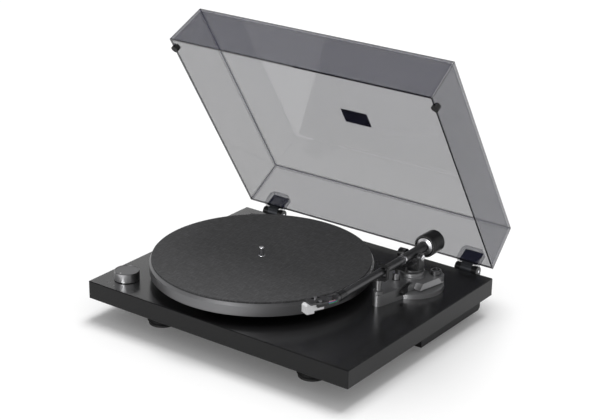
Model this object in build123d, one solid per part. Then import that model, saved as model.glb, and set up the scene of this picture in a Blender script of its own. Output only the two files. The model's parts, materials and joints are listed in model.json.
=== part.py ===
from build123d import *
import math
import os

# Fits
FIT = 0.05          # radial clearance of bores, fixed or running
GAP = 0.3           # clearance between pieces that move past each other
SEAM = 0.1          # gap of two pieces laid against each other

# Platter, mat and spindle
PLATTER_R, PLATTER_TOP_R, PLATTER_EDGE = 155.2, 152.8, 0.8
PLATTER_LIFT, PLATTER_H, BEVEL_H, WEB_T, RIM_WALL = 10.4, 17.8, 4.0, 11.2, 12.2
MAT_INSET, MAT_T, MAT_EDGE = 0.4, 2.7, 0.5
PIN_R, PIN_ABOVE_MAT, PIN_ROOT_R, PIN_NOSE = 3.58, 13.0, 4.5, 1.5

# Plinth, sized by what stands on it: the room beside the platter and around the arm's pivot
PLATTER_SIDE, PLATTER_FRONT = 21.6, 5.2
PIVOT_CLEAR, PIVOT_BACK, PIVOT_EDGE, PIVOT_REAR = 27.8, 99.6, 75.2, 91.0
PLINTH_W = PLATTER_SIDE + 2 * PLATTER_R + PIVOT_CLEAR + PIVOT_EDGE
PLINTH_D = PLATTER_FRONT + PLATTER_R + PIVOT_BACK + PIVOT_REAR
PLINTH_H, FRONT_FOOT_H, EDGE = 26.0, 29.0, 0.8
UNDER = FRONT_FOOT_H
TOP = UNDER + PLINTH_H
HALF_W = PLINTH_W / 2
PLATTER_X, PLATTER_Y = PLATTER_SIDE + PLATTER_R - HALF_W, PLATTER_FRONT + PLATTER_R
ARM_X, ARM_Y = PLATTER_X + PLATTER_R + PIVOT_CLEAR, PLATTER_Y + PIVOT_BACK
PIVOT_DIST = math.hypot(ARM_X - PLATTER_X, ARM_Y - PLATTER_Y)
PLATTER_Z0 = TOP + PLATTER_LIFT
PLATTER_Z1 = PLATTER_Z0 + PLATTER_H
WEB_Z = PLATTER_Z1 - WEB_T
MAT_TOP = PLATTER_Z1 + MAT_T

# Screws
SCREW_R, SCREW_HEAD_R, SCREW_HEAD_H = 2.0, 3.8, 2.4
SMALL_R, SMALL_HEAD_R, SMALL_L = 1.6, 3.2, 14.0
BASE_SCREW_L, SCREW_FLOOR = 26.0, 3.0

# Platter bearing
SHAFT_R, SHAFT_NOSE = 5.0, 1.6
BUSH_WALL, BUSH_LEN, BUSH_RISE = 3.0, 12.0, 2.0
SLEEVE_WALL, SLEEVE_DROP, SLEEVE_FLOOR = 4.0, 7.0, 2.0
FLANGE_REACH, FLANGE_T, HUB_R, HUB_GAP = 8.0, 3.0, 15.0, 2.0
BUSH_R = SHAFT_R + BUSH_WALL
SLEEVE_R = BUSH_R + SLEEVE_WALL
SLEEVE_Z0 = UNDER - SLEEVE_DROP
PAD_Z = SLEEVE_Z0 + SLEEVE_FLOOR

# Belt drive and motor
BELT_RING_R, BELT_RING_WALL, RING_OVER = 80.0, 8.0, 1.0
BELT_LIFT, BELT_W, BELT_T = 3.5, 5.0, 0.8
PULLEY_R, PULLEY_RIM, PULLEY_ROOM, RIM_T = 6.0, 1.2, 1.8, 1.5
MOTOR_OFF, MOTOR_ANGLE = 25.0, 148.0
MOTOR_R, MOTOR_H, MOTOR_EDGE, MOTOR_SHAFT_R, SHAFT_FLOOR = 17.5, 13.0, 1.0, 1.5, 2.0
PLATE_T, GROMMET_T, GROMMET_R, EAR_R, EAR_OUT = 1.5, 1.1, 4.5, 6.0, 6.5
BELT_Z0 = TOP + BELT_LIFT
MOTOR_DIST = BELT_RING_R + MOTOR_OFF
MOTOR_X = PLATTER_X + MOTOR_DIST * math.cos(math.radians(MOTOR_ANGLE))
MOTOR_Y = PLATTER_Y + MOTOR_DIST * math.sin(math.radians(MOTOR_ANGLE))

# Speed knob and its switch
KNOB_EDGE, KNOB_FRONT = 37.3, 37.4
KNOB_R, KNOB_H, KNOB_GAP, KNOB_RIM, KNOB_DISH = 17.5, 13.6, 1.0, 1.6, 0.3
KNOB_ROOM, DOT_R, DOT_INSET, DOT_D = 1.5, 1.1, 4.6, 0.5
SWITCH_BUSH_R, SWITCH_SHAFT_R, SWITCH_GRIP = 4.5, 3.0, 4.0
SWITCH_SIDE, SWITCH_H, SWITCH_RISE, SWITCH_ROOM = 24.0, 11.0, 4.0, 1.0
NUT_R, NUT_T, THREAD_OVER = 7.0, 2.0, 0.5
KNOB_X, KNOB_Y = KNOB_EDGE - HALF_W, KNOB_FRONT

# Feet and lower housing
FOOT_IN, FOOT_BACK, FOOT_R, FOOT_SCREW_T = 90.0, 50.0, 21.0, 10.0
REAR_FOOT_IN, REAR_FOOT_BACK, REAR_FOOT_R = 57.5, 37.0, 18.0
PAD_T, PAD_INSET, FOOT_BEVEL, HEAD_SINK = 3.0, 2.0, 3.0, 0.2
HOUSING_IN, HOUSING_REAR, BEARING_ROOM, MOTOR_ROOM = 10.0, 14.0, 12.6, 0.9
HOUSING_WALL, HOUSING_ROUND, BOSS_R, BOSS_IN, FOOT_BOSS_R = 2.5, 6.0, 5.0, 12.0, 6.0
FOOT_X, FOOT_Y = HALF_W - FOOT_IN, FOOT_BACK
HOUSING_HALF = HALF_W - HOUSING_IN
HOUSING_Y0, HOUSING_Y1 = PLATTER_Y + SLEEVE_R + BEARING_ROOM, PLINTH_D - HOUSING_REAR
HOUSING_Z0 = UNDER - GROMMET_T - PLATE_T - MOTOR_H - MOTOR_ROOM - HOUSING_WALL
REAR_FOOT_X, REAR_FOOT_Y = HOUSING_HALF - REAR_FOOT_IN, HOUSING_Y1 - REAR_FOOT_BACK

# Rear panel, measured from the housing's right end, and the board behind it
SOCKET_UP, PANEL_STEP, GROUND_IN, POWER_IN = 12.0, 40.0, 87.5, 57.5
LINE_STEP, LINE_R, LINE_BORE, LINE_OUT, LINE_IN = 16.0, 4.15, 1.65, 9.0, 4.0
SOCKET_FLANGE_R, SOCKET_FLANGE_T = 6.0, 1.2
POST_SCREW_R, POST_KNOB_R, POST_NECK, POST_KNOB_T = 2.0, 4.5, 4.0, 5.0
POWER_R, POWER_BORE, POWER_PIN, POWER_IN_L, POWER_FLOOR = 4.6, 2.75, 1.0, 8.0, 2.0
SLIDE_TRAVEL, TONGUE_W, TONGUE_H, TONGUE_OUT = 3.0, 4.0, 3.0, 1.5
SLIDER_HALF, SLIDER_T, CASE_WALL, CASE_D = 3.0, 3.5, 2.0, 7.0
BOARD_W, BOARD_D, BOARD_T, BOARD_RISE, BOARD_ARM, BOARD_REAR = 90.0, 78.0, 1.6, 6.0, 32.3, 19.0
STANDOFF_R, STANDOFF_PIN, STANDOFF_IN = 3.0, 1.2, 5.0
CHIP_W, CHIP_D, CHIP_T, CAN_R, CAN_H, CHIP_STEP = 12.0, 6.0, 2.0, 4.0, 7.0, 26.0
SOCKET_Z = HOUSING_Z0 + SOCKET_UP
GROUND_X, POWER_X = HOUSING_HALF - GROUND_IN, POWER_IN - HOUSING_HALF
LINE_X = GROUND_X - PANEL_STEP
SELECT_X = LINE_X - PANEL_STEP

# Arm and its pivot; along the arm, measured from the pivot
TUBE_RISE, PITCH_DROP, PEDESTAL_DROP = 17.9, 3.3, 23.3
ARM_TOE, ARM_TILT = 1.8, 1.2
TUBE_R, TUBE_WALL = 5.4, 1.0
ARM_SLEEVE_R, SLEEVE_FRONT, SLEEVE_BACK, SLEEVE_SOCKET = 6.5, 26.6, 27.0, 12.0
TRIM_OVER, TRIM_W = 0.4, 2.4
UPRIGHT_IN, UPRIGHT_T, UPRIGHT_W, CUP_L = 10.5, 3.8, 14.0, 7.2
SADDLE_H, SCOOP_R, SCOOP_D, SUNK = 4.5, 9.5, 1.5, 0.5
AXLE_R, BORE_R, PIVOT_TIP_R, PIVOT_TIP, TIP_ROOM, CONE_GAP = 2.4, 2.5, 1.0, 1.2, 0.2, 0.4
PIVOT_HEAD_R, PIVOT_HEAD_T, PIVOT_SLOT = 4.2, 1.6, 0.6
TURN_R, TURN_T, YAW_R, YAW_RISE = 15.5, 3.5, 4.0, 3.0
HEAD_SHORT, TUBE_SHORT, COLLAR_GAP, COLLAR_L, COLLAR_R = 27.85, 8.5, 1.0, 14.0, 6.6
KNURLS, KNURL_D, KNURL_W, KNURL_END = 24, 0.3, 0.8, 2.5
TAIL_R, TAIL_END = 5.0, 70.0
TUBE_Z = MAT_TOP + TUBE_RISE
PITCH_Z = TUBE_Z - PITCH_DROP
PEDESTAL_TOP = TUBE_Z - PEDESTAL_DROP
UPRIGHT_OUT = UPRIGHT_IN + UPRIGHT_T
AXLE_HALF = UPRIGHT_IN - GAP
HEAD_Y = PIVOT_DIST - HEAD_SHORT
TUBE_END = HEAD_Y - TUBE_SHORT
COLLAR_Y0 = TUBE_END + COLLAR_GAP
COLLAR_Y1 = COLLAR_Y0 + COLLAR_L

# Headshell and cartridge; y runs forward from the head's origin
HEAD_ANGLE, HEAD_L, HEAD_W, HEAD_T, HEAD_TIP = 26.0, 48.2, 18.0, 2.0, 0.7
PLUG_R, PLUG_IN, PLUG_FACE_R, PLUG_FACE, PLUG_GAP = 3.4, 10.0, 5.6, 5.0, 0.4
SLOT_X, SLOT_HALF, SLOT_Y0, SLOT_Y1 = 6.35, 1.35, 27.0, 39.0
HEAD_SCREW_R, HEAD_SCREW_Y, HEAD_SCREW_HEAD_R, HEAD_SCREW_HEAD_H = 1.25, 33.0, 2.3, 1.3
BODY_Y0, BODY_Y1, BODY_H, BODY_INSET, BODY_TAIL, BODY_TAIL_HALF = 24.0, 38.0, 5.0, 0.5, 4.0, 6.0
GUARD_HALF, GUARD_WALL, GUARD_TOP, GUARD_LOW, GUARD_FRONT, GUARD_BACK = 5.7, 2.3, 1.4, 14.2, 53.0, 41.0
HOLDER_END, HOLDER_LOW, HOLDER_ROOF = 27.0, 10.5, 7.0
STYLUS_Y, STYLUS_Z, CANTILEVER_T = 39.7, 14.9, 0.7
LEAD_R, LEAD_STEP, LEAD_X, LEAD_Z, LEADS = 0.45, 1.9, 0.4, 4.5, 4
LEAD_END_X, LEAD_END_STEP, LEAD_END_Z = -0.5, 1.3, 1.9

# Counterweight and dial
WEIGHT_R, WEIGHT_Y0, WEIGHT_L, WEIGHT_EDGE = 15.9, 36.4, 22.7, 0.7
DIAL_T, DIAL_STEP_R, DIAL_STEP, DIAL_EDGE, DIAL_CONE, DIAL_LIP = 5.4, 12.0, 3.0, 0.5, 2.2, 0.2
TICKS, TICK_W, TICK_D, TICK_OUT, TICK_L, TICK_LONG = 40, 0.4, 0.25, 0.8, 1.2, 2.0
BUSH_OUT, BUSH_Y0, BUSH_Y1 = 8.0, 33.0, 60.5
DIAL_Y1 = WEIGHT_Y0 - GAP
DIAL_Y0 = DIAL_Y1 - DIAL_T

# Tonearm base
DISC_R, DISC_H, DISC_EDGE = 44.0, 7.5, 1.2
CAST_H, CAST_R, CAST_EDGE = 17.0, 23.5, 0.9
SIDE_LOW, SIDE_NECK = 9.5, 2.0
SIDE_FOOT = [(6.2, -22.0), (29.0, -24.9), (37.9, 17.3), (30.0, 30.0)]
SIDE_TOP = [(8.0, -21.0), (28.9, -17.7), (34.7, 13.1), (27.0, 27.5)]
PEDESTAL_R, PEDESTAL_TUBE_R, PEDESTAL_EDGE = 17.0, 9.0, 1.0
FLARE_OUT, FLARE_H, FLARE_SLOPE = 1.2, 1.2, 0.6
BASE_NUT_T, BASE_NUT_OVER, TUBE_OVER = 5.0, 5.0, 1.0
DISC_TOP, CAST_TOP = TOP + DISC_H, TOP + CAST_H

# Arm rest: post, clip and keeper
REST_Y, POST_LEFT, POST_BASE_R = 79.0, 3.3, 7.2
POST_R, POST_WIDE_H, NECK_R, POST_H = 7.0, 4.8, 4.0, 19.5
POST_STUB_R, POST_STUB = 3.0, 6.0
REST_SINK, SEAT_T, SEAT_LEFT, REST_HALF, CLIP_BASE_R = 2.5, 2.5, 4.0, 3.0, 5.2
KEEP_X, KEEP_Z, KEEP_T, BLADE_HALF = 8.0, 7.5, 1.5, 1.0
CLIP_EAR_R, KEEPER_PIN_R, KEEPER_HALF, KEEPER_REACH = 1.8, 0.6, 1.4, 4.5
POST_X, POST_Y = ARM_X - POST_LEFT, ARM_Y - REST_Y
POST_TOP = CAST_TOP + POST_H

# Lift, cue lever and anti-skate dial
LIFT_LEFT, LIFT_FRONT, LIFT_R, LIFT_ROD_R, LIFT_TOP_DROP = 9.3, 26.0, 4.7, 2.0, 22.8
LIFT_TRAVEL, CUE_DROP, CAM_R, CAM_REACH, CAM_TIP_R, CAM_HALF = 3.5, 5.0, 2.2, 3.6, 1.2, 2.0
BAR_DROP, BAR_T, BAR_TOP_DROP, BAR_HALF, BAR_RIGHT, BAR_LEFT = 15.8, 3.0, 10.0, 3.0, 6.0, 16.0
LEVER_IN, LEVER_W, LEVER_L, LEVER_R, LEVER_TIP_R, LEVER_DROP = 10.2, 5.0, 17.0, 3.8, 3.0, 8.0
WELL_R, WELL_OVER, CUE_LEFT = 5.7, 3.4, 8.8
SKATE_RIGHT, SKATE_BACK, SKATE_R, SKATE_H, SKATE_WALL = 23.8, 23.0, 7.4, 5.7, 2.65
SKATE_DISH, SKATE_EDGE, SKATE_PIN, LOBE_OVER = 1.6, 0.6, 7.0, 4.0
LIFT_X, LIFT_Y, CUE_Z = ARM_X - LIFT_LEFT, ARM_Y - LIFT_FRONT, CAST_TOP - CUE_DROP
SKATE_X, SKATE_Y = ARM_X + SKATE_RIGHT, ARM_Y + SKATE_BACK

# Hinges behind the plinth
HINGE_IN, HINGE_OFF, HINGE_DROP = 46.5, 2.7, 1.2
HINGE_W, HINGE_R, HINGE_PIN_R, KNUCKLE_W = 35.0, 7.0, 2.0, 17.2
BRACKET_T, BRACKET_RISE, BRACKET_SCREW_X, BRACKET_SCREW_Z = 2.2, 3.0, 5.0, 8.0
HINGE_X, HINGE_Y, HINGE_Z = HALF_W - HINGE_IN, PLINTH_D + HINGE_R + HINGE_OFF, TOP - HINGE_DROP

# Dust cover, drawn closed; its height leaves room over the counterweight
LID_SIDE_IN, LID_FRONT_IN, LID_REAR_IN, LID_LIFT = 3.5, 0.8, 2.5, 2.0
LID_WALL, LID_ROOM, LID_RISE, LID_ROUND = 2.5, 2.4, 1.7, 1.2
LID_SIDE_DRAFT, LID_FRONT_DRAFT, LID_REAR_DRAFT = 5.5, 4.0, 6.7
LID_OPEN = 58.2
LID_X, LID_Y0, LID_Y1 = HALF_W - LID_SIDE_IN, LID_FRONT_IN, PLINTH_D - LID_REAR_IN
LID_Z = TOP + LID_LIFT
LID_FRONT_H = TUBE_Z + WEIGHT_R + LID_ROOM + LID_WALL - LID_Z
LID_REAR_H = LID_FRONT_H + LID_RISE
BLADE_W, BLADE_T, BLADE_H, BLADE_OFF = 28.0, 2.4, 22.0, 3.0
POCKET_SIDE, POCKET_OVER, POCKET_SKIN, POCKET_LIFT, POCKET_CORNER = 4.0, 3.0, 1.6, 2.0, 5.0
SHELF_DROP, SHELF_T, POCKET_BITE = 0.4, 3.0, 4.0
BUMPER_R, BUMPER_H, BUMPER_Y = 5.3, 7.5, 20.5
BADGE_W, BADGE_D, BADGE_T, BADGE_Y0 = 43.5, 26.0, 1.2, 160.0

parts = {}


def cyl(r, z0, z1, x=0.0, y=0.0):
    return Pos(x, y, (z0 + z1) / 2) * Cylinder(r, z1 - z0)


def block(x0, x1, y0, y1, z0, z1):
    return Pos((x0 + x1) / 2, (y0 + y1) / 2, (z0 + z1) / 2) * Box(x1 - x0, y1 - y0, z1 - z0)


def rod_x(r, x0, x1, y=0.0, z=0.0):
    return Pos((x0 + x1) / 2, y, z) * Rot(0, 90, 0) * Cylinder(r, x1 - x0)


def rod_y(r, y0, y1, x=0.0, z=0.0):
    return Pos(x, (y0 + y1) / 2, z) * Rot(90, 0, 0) * Cylinder(r, y1 - y0)


def turned(profile, x=0.0, y=0.0):
    outline = Polyline(*[(r, 0, z) for r, z in profile], close=True)
    return Pos(x, y, 0) * revolve(make_face(outline), Axis.Z)


def prism(points, z0, z1):
    return extrude(Pos(0, 0, z0) * make_face(Polyline(*points, close=True)), z1 - z0)


def side_prism(points, x0, x1):
    outline = Polyline(*[(x0, y, z) for y, z in points], close=True)
    return extrude(make_face(outline), x1 - x0, dir=(1, 0, 0))


def capsule(a, ra, b, rb, z0, z1):
    dx, dy = b[0] - a[0], b[1] - a[1]
    line = math.atan2(dy, dx)
    spread = math.acos((ra - rb) / math.hypot(dx, dy))
    corners = [
        (c[0] + r * math.cos(line + s * spread), c[1] + r * math.sin(line + s * spread))
        for c, r, s in ((a, ra, 1), (b, rb, 1), (b, rb, -1), (a, ra, -1))
    ]
    return prism(corners, z0, z1) + cyl(ra, z0, z1, *a) + cyl(rb, z0, z1, *b)


def screw(x, y, z, length, r=SCREW_R, head_r=SCREW_HEAD_R, head_h=SCREW_HEAD_H):
    shank = cyl(head_r, z, z + head_h, x, y) + cyl(r, z + head_h, z + head_h + length, x, y)
    return shank - block(x - head_r, x + head_r, y - r / 4, y + r / 4, z, z + head_h / 3)


def group(shapes):
    return Compound(children=[s for shape in shapes for s in shape.solids()])


# Plinth board with the holes for what goes through it; the screws add theirs below
plinth = block(-HALF_W, HALF_W, 0, PLINTH_D, UNDER, TOP)
plinth = chamfer(plinth.edges(), EDGE)
pocket_z = UNDER + SWITCH_RISE + SWITCH_H
pocket_half = SWITCH_SIDE / 2 + SWITCH_ROOM
holes = [
    cyl(SLEEVE_R + FIT, UNDER, TOP, PLATTER_X, PLATTER_Y),
    cyl(PULLEY_R + PULLEY_RIM + PULLEY_ROOM, UNDER, TOP, MOTOR_X, MOTOR_Y),
    cyl(SWITCH_BUSH_R + FIT, UNDER, TOP, KNOB_X, KNOB_Y),
    block(KNOB_X - pocket_half, KNOB_X + pocket_half, KNOB_Y - pocket_half, KNOB_Y + pocket_half,
          UNDER, pocket_z),
    cyl(PEDESTAL_TUBE_R + FIT, UNDER, TOP, ARM_X, ARM_Y),
]

# Front and rear feet, their pads and screws
front_feet = [(-FOOT_X, FOOT_Y), (FOOT_X, FOOT_Y)]
rear_feet = [(-REAR_FOOT_X, REAR_FOOT_Y), (REAR_FOOT_X, REAR_FOOT_Y)]
front_seat = UNDER - FOOT_SCREW_T
rear_seat = PAD_T + SCREW_HEAD_H + HEAD_SINK


def foot(x, y, r, top, seat):
    body = turned([(0, PAD_T), (r - PAD_INSET, PAD_T), (r, PAD_T + FOOT_BEVEL), (r, top), (0, top)], x, y)
    body -= cyl(SCREW_HEAD_R + GAP, PAD_T, seat, x, y)
    return body - cyl(SCREW_R + FIT, seat, top, x, y)


parts["feet"] = group(
    [foot(x, y, FOOT_R, UNDER, front_seat) for x, y in front_feet]
    + [foot(x, y, REAR_FOOT_R, HOUSING_Z0, rear_seat) for x, y in rear_feet]
)
parts["foot_pads"] = group(
    [cyl(FOOT_R - PAD_INSET, 0, PAD_T, x, y) for x, y in front_feet]
    + [cyl(REAR_FOOT_R - PAD_INSET, 0, PAD_T, x, y) for x, y in rear_feet]
)
base_screws = []


def base_screw(x, y, seat):
    base_screws.append(screw(x, y, seat - SCREW_HEAD_H, BASE_SCREW_L))
    holes.append(cyl(SCREW_R + FIT, UNDER, seat + BASE_SCREW_L + FIT, x, y))


for x, y in front_feet:
    base_screw(x, y, front_seat)
for x, y in rear_feet:
    base_screw(x, y, rear_seat)

# Lower housing: a tub under the rear half, screwed up into the plinth
floor_z = HOUSING_Z0 + HOUSING_WALL
housing = block(-HOUSING_HALF, HOUSING_HALF, HOUSING_Y0, HOUSING_Y1, HOUSING_Z0, UNDER)
rear_low = housing.edges().filter_by(Axis.X).sort_by(Axis.Z)[:2].sort_by(Axis.Y)[-1]
housing = fillet(rear_low, HOUSING_ROUND)
cavity = block(HOUSING_WALL - HOUSING_HALF, HOUSING_HALF - HOUSING_WALL,
               HOUSING_Y0 + HOUSING_WALL, HOUSING_Y1 - HOUSING_WALL, floor_z, UNDER)
cavity_low = cavity.edges().filter_by(Axis.X).sort_by(Axis.Z)[:2].sort_by(Axis.Y)[-1]
housing -= fillet(cavity_low, HOUSING_ROUND - HOUSING_WALL)
housing_seat = HOUSING_Z0 + SCREW_FLOOR
boss_z = HOUSING_Z0 + HOUSING_WALL / 2
for x in (BOSS_IN - HOUSING_HALF, 0, HOUSING_HALF - BOSS_IN):
    for y in (HOUSING_Y0 + BOSS_IN, HOUSING_Y1 - BOSS_IN):
        housing += cyl(BOSS_R, boss_z, UNDER, x, y)
        housing -= cyl(SCREW_HEAD_R + GAP, HOUSING_Z0, housing_seat, x, y)
        housing -= cyl(SCREW_R + FIT, housing_seat, UNDER, x, y)
        base_screw(x, y, housing_seat)
for x, y in rear_feet:
    housing += cyl(FOOT_BOSS_R, boss_z, UNDER, x, y)
    housing -= cyl(SCREW_R + FIT, HOUSING_Z0, UNDER, x, y)
parts["base_screws"] = group(base_screws)

# Sockets and ground post on the housing's rear wall
back_in, back_out = HOUSING_Y1 - HOUSING_WALL, HOUSING_Y1
line_places = [LINE_X - LINE_STEP / 2, LINE_X + LINE_STEP / 2]
sockets = []
for x in line_places:
    shell = rod_y(SOCKET_FLANGE_R, back_out, back_out + SOCKET_FLANGE_T, x, SOCKET_Z)
    shell += rod_y(LINE_R, back_in - LINE_IN, back_out + LINE_OUT, x, SOCKET_Z)
    sockets.append(shell - rod_y(LINE_BORE, back_out, back_out + LINE_OUT, x, SOCKET_Z))
    housing -= rod_y(LINE_R + FIT, back_in, back_out, x, SOCKET_Z)
ground = rod_y(POST_SCREW_R, back_in - POST_NECK, back_out + POST_NECK, GROUND_X, SOCKET_Z)
ground += rod_y(POST_KNOB_R, back_out + POST_NECK, back_out + POST_NECK + POST_KNOB_T, GROUND_X, SOCKET_Z)
ground += rod_y(POST_KNOB_R - SOCKET_FLANGE_T, back_out, back_out + SOCKET_FLANGE_T, GROUND_X, SOCKET_Z)
parts["line_sockets_and_ground"] = group(sockets + [ground])
housing -= rod_y(POST_SCREW_R + FIT, back_in, back_out, GROUND_X, SOCKET_Z)
power = rod_y(SOCKET_FLANGE_R, back_out, back_out + SOCKET_FLANGE_T, POWER_X, SOCKET_Z)
power += rod_y(POWER_R, back_in - POWER_IN_L, back_out, POWER_X, SOCKET_Z)
power_floor = back_in - POWER_IN_L + POWER_FLOOR
power -= rod_y(POWER_BORE, power_floor, back_out + SOCKET_FLANGE_T, POWER_X, SOCKET_Z)
parts["power_socket"] = power + rod_y(POWER_PIN, power_floor, back_out, POWER_X, SOCKET_Z)
housing -= rod_y(POWER_R + FIT, back_in, back_out, POWER_X, SOCKET_Z)

# Selector: a slider whose tongue moves in a window, in a case behind the rear wall
tongue = TONGUE_W / 2
window_x0, window_x1 = SELECT_X - tongue - GAP, SELECT_X + tongue + SLIDE_TRAVEL + GAP
window_half = TONGUE_H / 2 + GAP
housing -= block(window_x0, window_x1, back_in, back_out, SOCKET_Z - window_half, SOCKET_Z + window_half)
room = SLIDER_HALF - tongue + GAP
case_x0, case_x1, case_half = window_x0 - room, window_x1 + room, SLIDER_HALF - SUNK + GAP
case = block(case_x0 - CASE_WALL, case_x1 + CASE_WALL, back_in - CASE_D, back_in,
             SOCKET_Z - case_half - CASE_WALL, SOCKET_Z + case_half + CASE_WALL)
housing += case - block(case_x0, case_x1, back_in - CASE_D + CASE_WALL, back_in,
                        SOCKET_Z - case_half, SOCKET_Z + case_half)
slider_y = back_in - GAP
slider = block(SELECT_X - tongue, SELECT_X + tongue, slider_y - SUNK, back_out + TONGUE_OUT,
               SOCKET_Z - TONGUE_H / 2, SOCKET_Z + TONGUE_H / 2)
parts["selector_slider"] = slider + block(
    SELECT_X - SLIDER_HALF, SELECT_X + SLIDER_HALF, slider_y - SLIDER_T, slider_y,
    SOCKET_Z - SLIDER_HALF + SUNK, SOCKET_Z + SLIDER_HALF - SUNK)

# Circuit board on the housing's own standoffs
board_x1, board_y1, board_z = ARM_X - BOARD_ARM, HOUSING_Y1 - BOARD_REAR, floor_z + BOARD_RISE
board_x0, board_y0 = board_x1 - BOARD_W, board_y1 - BOARD_D
chip_z = board_z + BOARD_T
board = block(board_x0, board_x1, board_y0, board_y1, board_z, chip_z)
for x in (board_x0 + STANDOFF_IN, board_x1 - STANDOFF_IN):
    for y in (board_y0 + STANDOFF_IN, board_y1 - STANDOFF_IN):
        housing += cyl(STANDOFF_R, floor_z, board_z, x, y) + cyl(STANDOFF_PIN, board_z, chip_z + 1, x, y)
        board -= cyl(STANDOFF_PIN + FIT, board_z, chip_z, x, y)
chip_y = (board_y0 + board_y1) / 2
for x in ((board_x0 + board_x1 - CHIP_STEP) / 2, (board_x0 + board_x1 + CHIP_STEP) / 2):
    board += block(x - CHIP_W / 2, x + CHIP_W / 2, chip_y - CHIP_STEP / 2 - CHIP_D, chip_y - CHIP_STEP / 2,
                   chip_z, chip_z + CHIP_T)
    board += cyl(CAN_R, chip_z, chip_z + CAN_H, x, chip_y + CHIP_STEP / 2)
parts["circuit_board"] = board
parts["under_housing"] = housing

# Platter bearing: flanged housing with a closed bottom that takes the thrust, and two bushes
flange_top = TOP + FLANGE_T
bush_bore = BUSH_R + FIT
parts["bearing_housing"] = turned([
    (bush_bore, PAD_Z), (bush_bore, flange_top), (SLEEVE_R + FLANGE_REACH, flange_top),
    (SLEEVE_R + FLANGE_REACH, TOP), (SLEEVE_R, TOP), (SLEEVE_R, SLEEVE_Z0), (0, SLEEVE_Z0), (0, PAD_Z)
], PLATTER_X, PLATTER_Y)
parts["bearing_bushes"] = group([
    Pos(PLATTER_X, PLATTER_Y, z) * (cyl(BUSH_R, 0, BUSH_LEN) - cyl(SHAFT_R + FIT, 0, BUSH_LEN))
    for z in (PAD_Z + BUSH_RISE, flange_top - BUSH_LEN)
])

# Platter, belt ring, mat and spindle
rim_in = PLATTER_R - RIM_WALL
platter = turned([
    (0, WEB_Z), (rim_in, WEB_Z), (rim_in, PLATTER_Z0), (PLATTER_R - PLATTER_EDGE, PLATTER_Z0),
    (PLATTER_R, PLATTER_Z0 + PLATTER_EDGE), (PLATTER_R, PLATTER_Z1 - BEVEL_H), (PLATTER_TOP_R, PLATTER_Z1),
    (0, PLATTER_Z1)
], PLATTER_X, PLATTER_Y)
parts["platter"] = platter - cyl(PIN_ROOT_R + FIT, WEB_Z, PLATTER_Z1, PLATTER_X, PLATTER_Y)
ring_in, ring_z0 = BELT_RING_R - BELT_RING_WALL, BELT_Z0 - RING_OVER
parts["belt_ring"] = turned([
    (ring_in, ring_z0), (BELT_RING_R, ring_z0), (BELT_RING_R, WEB_Z), (ring_in, WEB_Z)
], PLATTER_X, PLATTER_Y)
mat_r, mat_in = PLATTER_TOP_R - MAT_INSET, PIN_ROOT_R + FIT
parts["mat"] = turned([
    (mat_in, PLATTER_Z1), (mat_r, PLATTER_Z1), (mat_r, MAT_TOP - MAT_EDGE), (mat_r - MAT_EDGE, MAT_TOP),
    (mat_in, MAT_TOP)
], PLATTER_X, PLATTER_Y)
shaft_z0, hub_z0, pin_top = PAD_Z + FIT, flange_top + HUB_GAP, MAT_TOP + PIN_ABOVE_MAT
spindle = turned([
    (0, shaft_z0), (SHAFT_R - SHAFT_NOSE, shaft_z0), (SHAFT_R, shaft_z0 + SHAFT_NOSE), (SHAFT_R, hub_z0),
    (HUB_R, hub_z0), (HUB_R, WEB_Z), (PIN_ROOT_R, WEB_Z), (PIN_ROOT_R, MAT_TOP), (PIN_R, MAT_TOP),
    (PIN_R, pin_top), (0, pin_top)
], PLATTER_X, PLATTER_Y)
parts["spindle"] = fillet(spindle.edges().sort_by(Axis.Z)[-1], PIN_NOSE)

# Motor hung under the plinth on grommets
plate_z1 = UNDER - GROMMET_T
plate_z0 = plate_z1 - PLATE_T
ears = MOTOR_R + EAR_OUT
ear_places = [(MOTOR_X - ears, MOTOR_Y), (MOTOR_X + ears, MOTOR_Y)]
can = cyl(MOTOR_R, plate_z0 - MOTOR_H, plate_z0, MOTOR_X, MOTOR_Y)
can = chamfer(can.edges(), MOTOR_EDGE)
can_floor = plate_z0 - MOTOR_H + SHAFT_FLOOR
parts["motor"] = can - cyl(MOTOR_SHAFT_R + FIT, can_floor, plate_z0, MOTOR_X, MOTOR_Y)
plate = capsule(ear_places[0], EAR_R, ear_places[1], EAR_R, plate_z0, plate_z1)
plate += cyl(MOTOR_R, plate_z0, plate_z1, MOTOR_X, MOTOR_Y)
plate -= cyl(MOTOR_SHAFT_R + GAP, plate_z0, plate_z1, MOTOR_X, MOTOR_Y)
grommets, small_screws = [], []
for x, y in ear_places:
    plate -= cyl(SMALL_R + FIT, plate_z0, plate_z1, x, y)
    grommets.append(cyl(GROMMET_R, plate_z1, UNDER, x, y) - cyl(SMALL_R + FIT, plate_z1, UNDER, x, y))
    small_screws.append(screw(x, y, plate_z0 - SCREW_HEAD_H, SMALL_L, SMALL_R, SMALL_HEAD_R))
    holes.append(cyl(SMALL_R + FIT, UNDER, plate_z0 + SMALL_L + FIT, x, y))
parts["motor_plate"] = plate
parts["motor_grommets"] = group(grommets)

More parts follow.
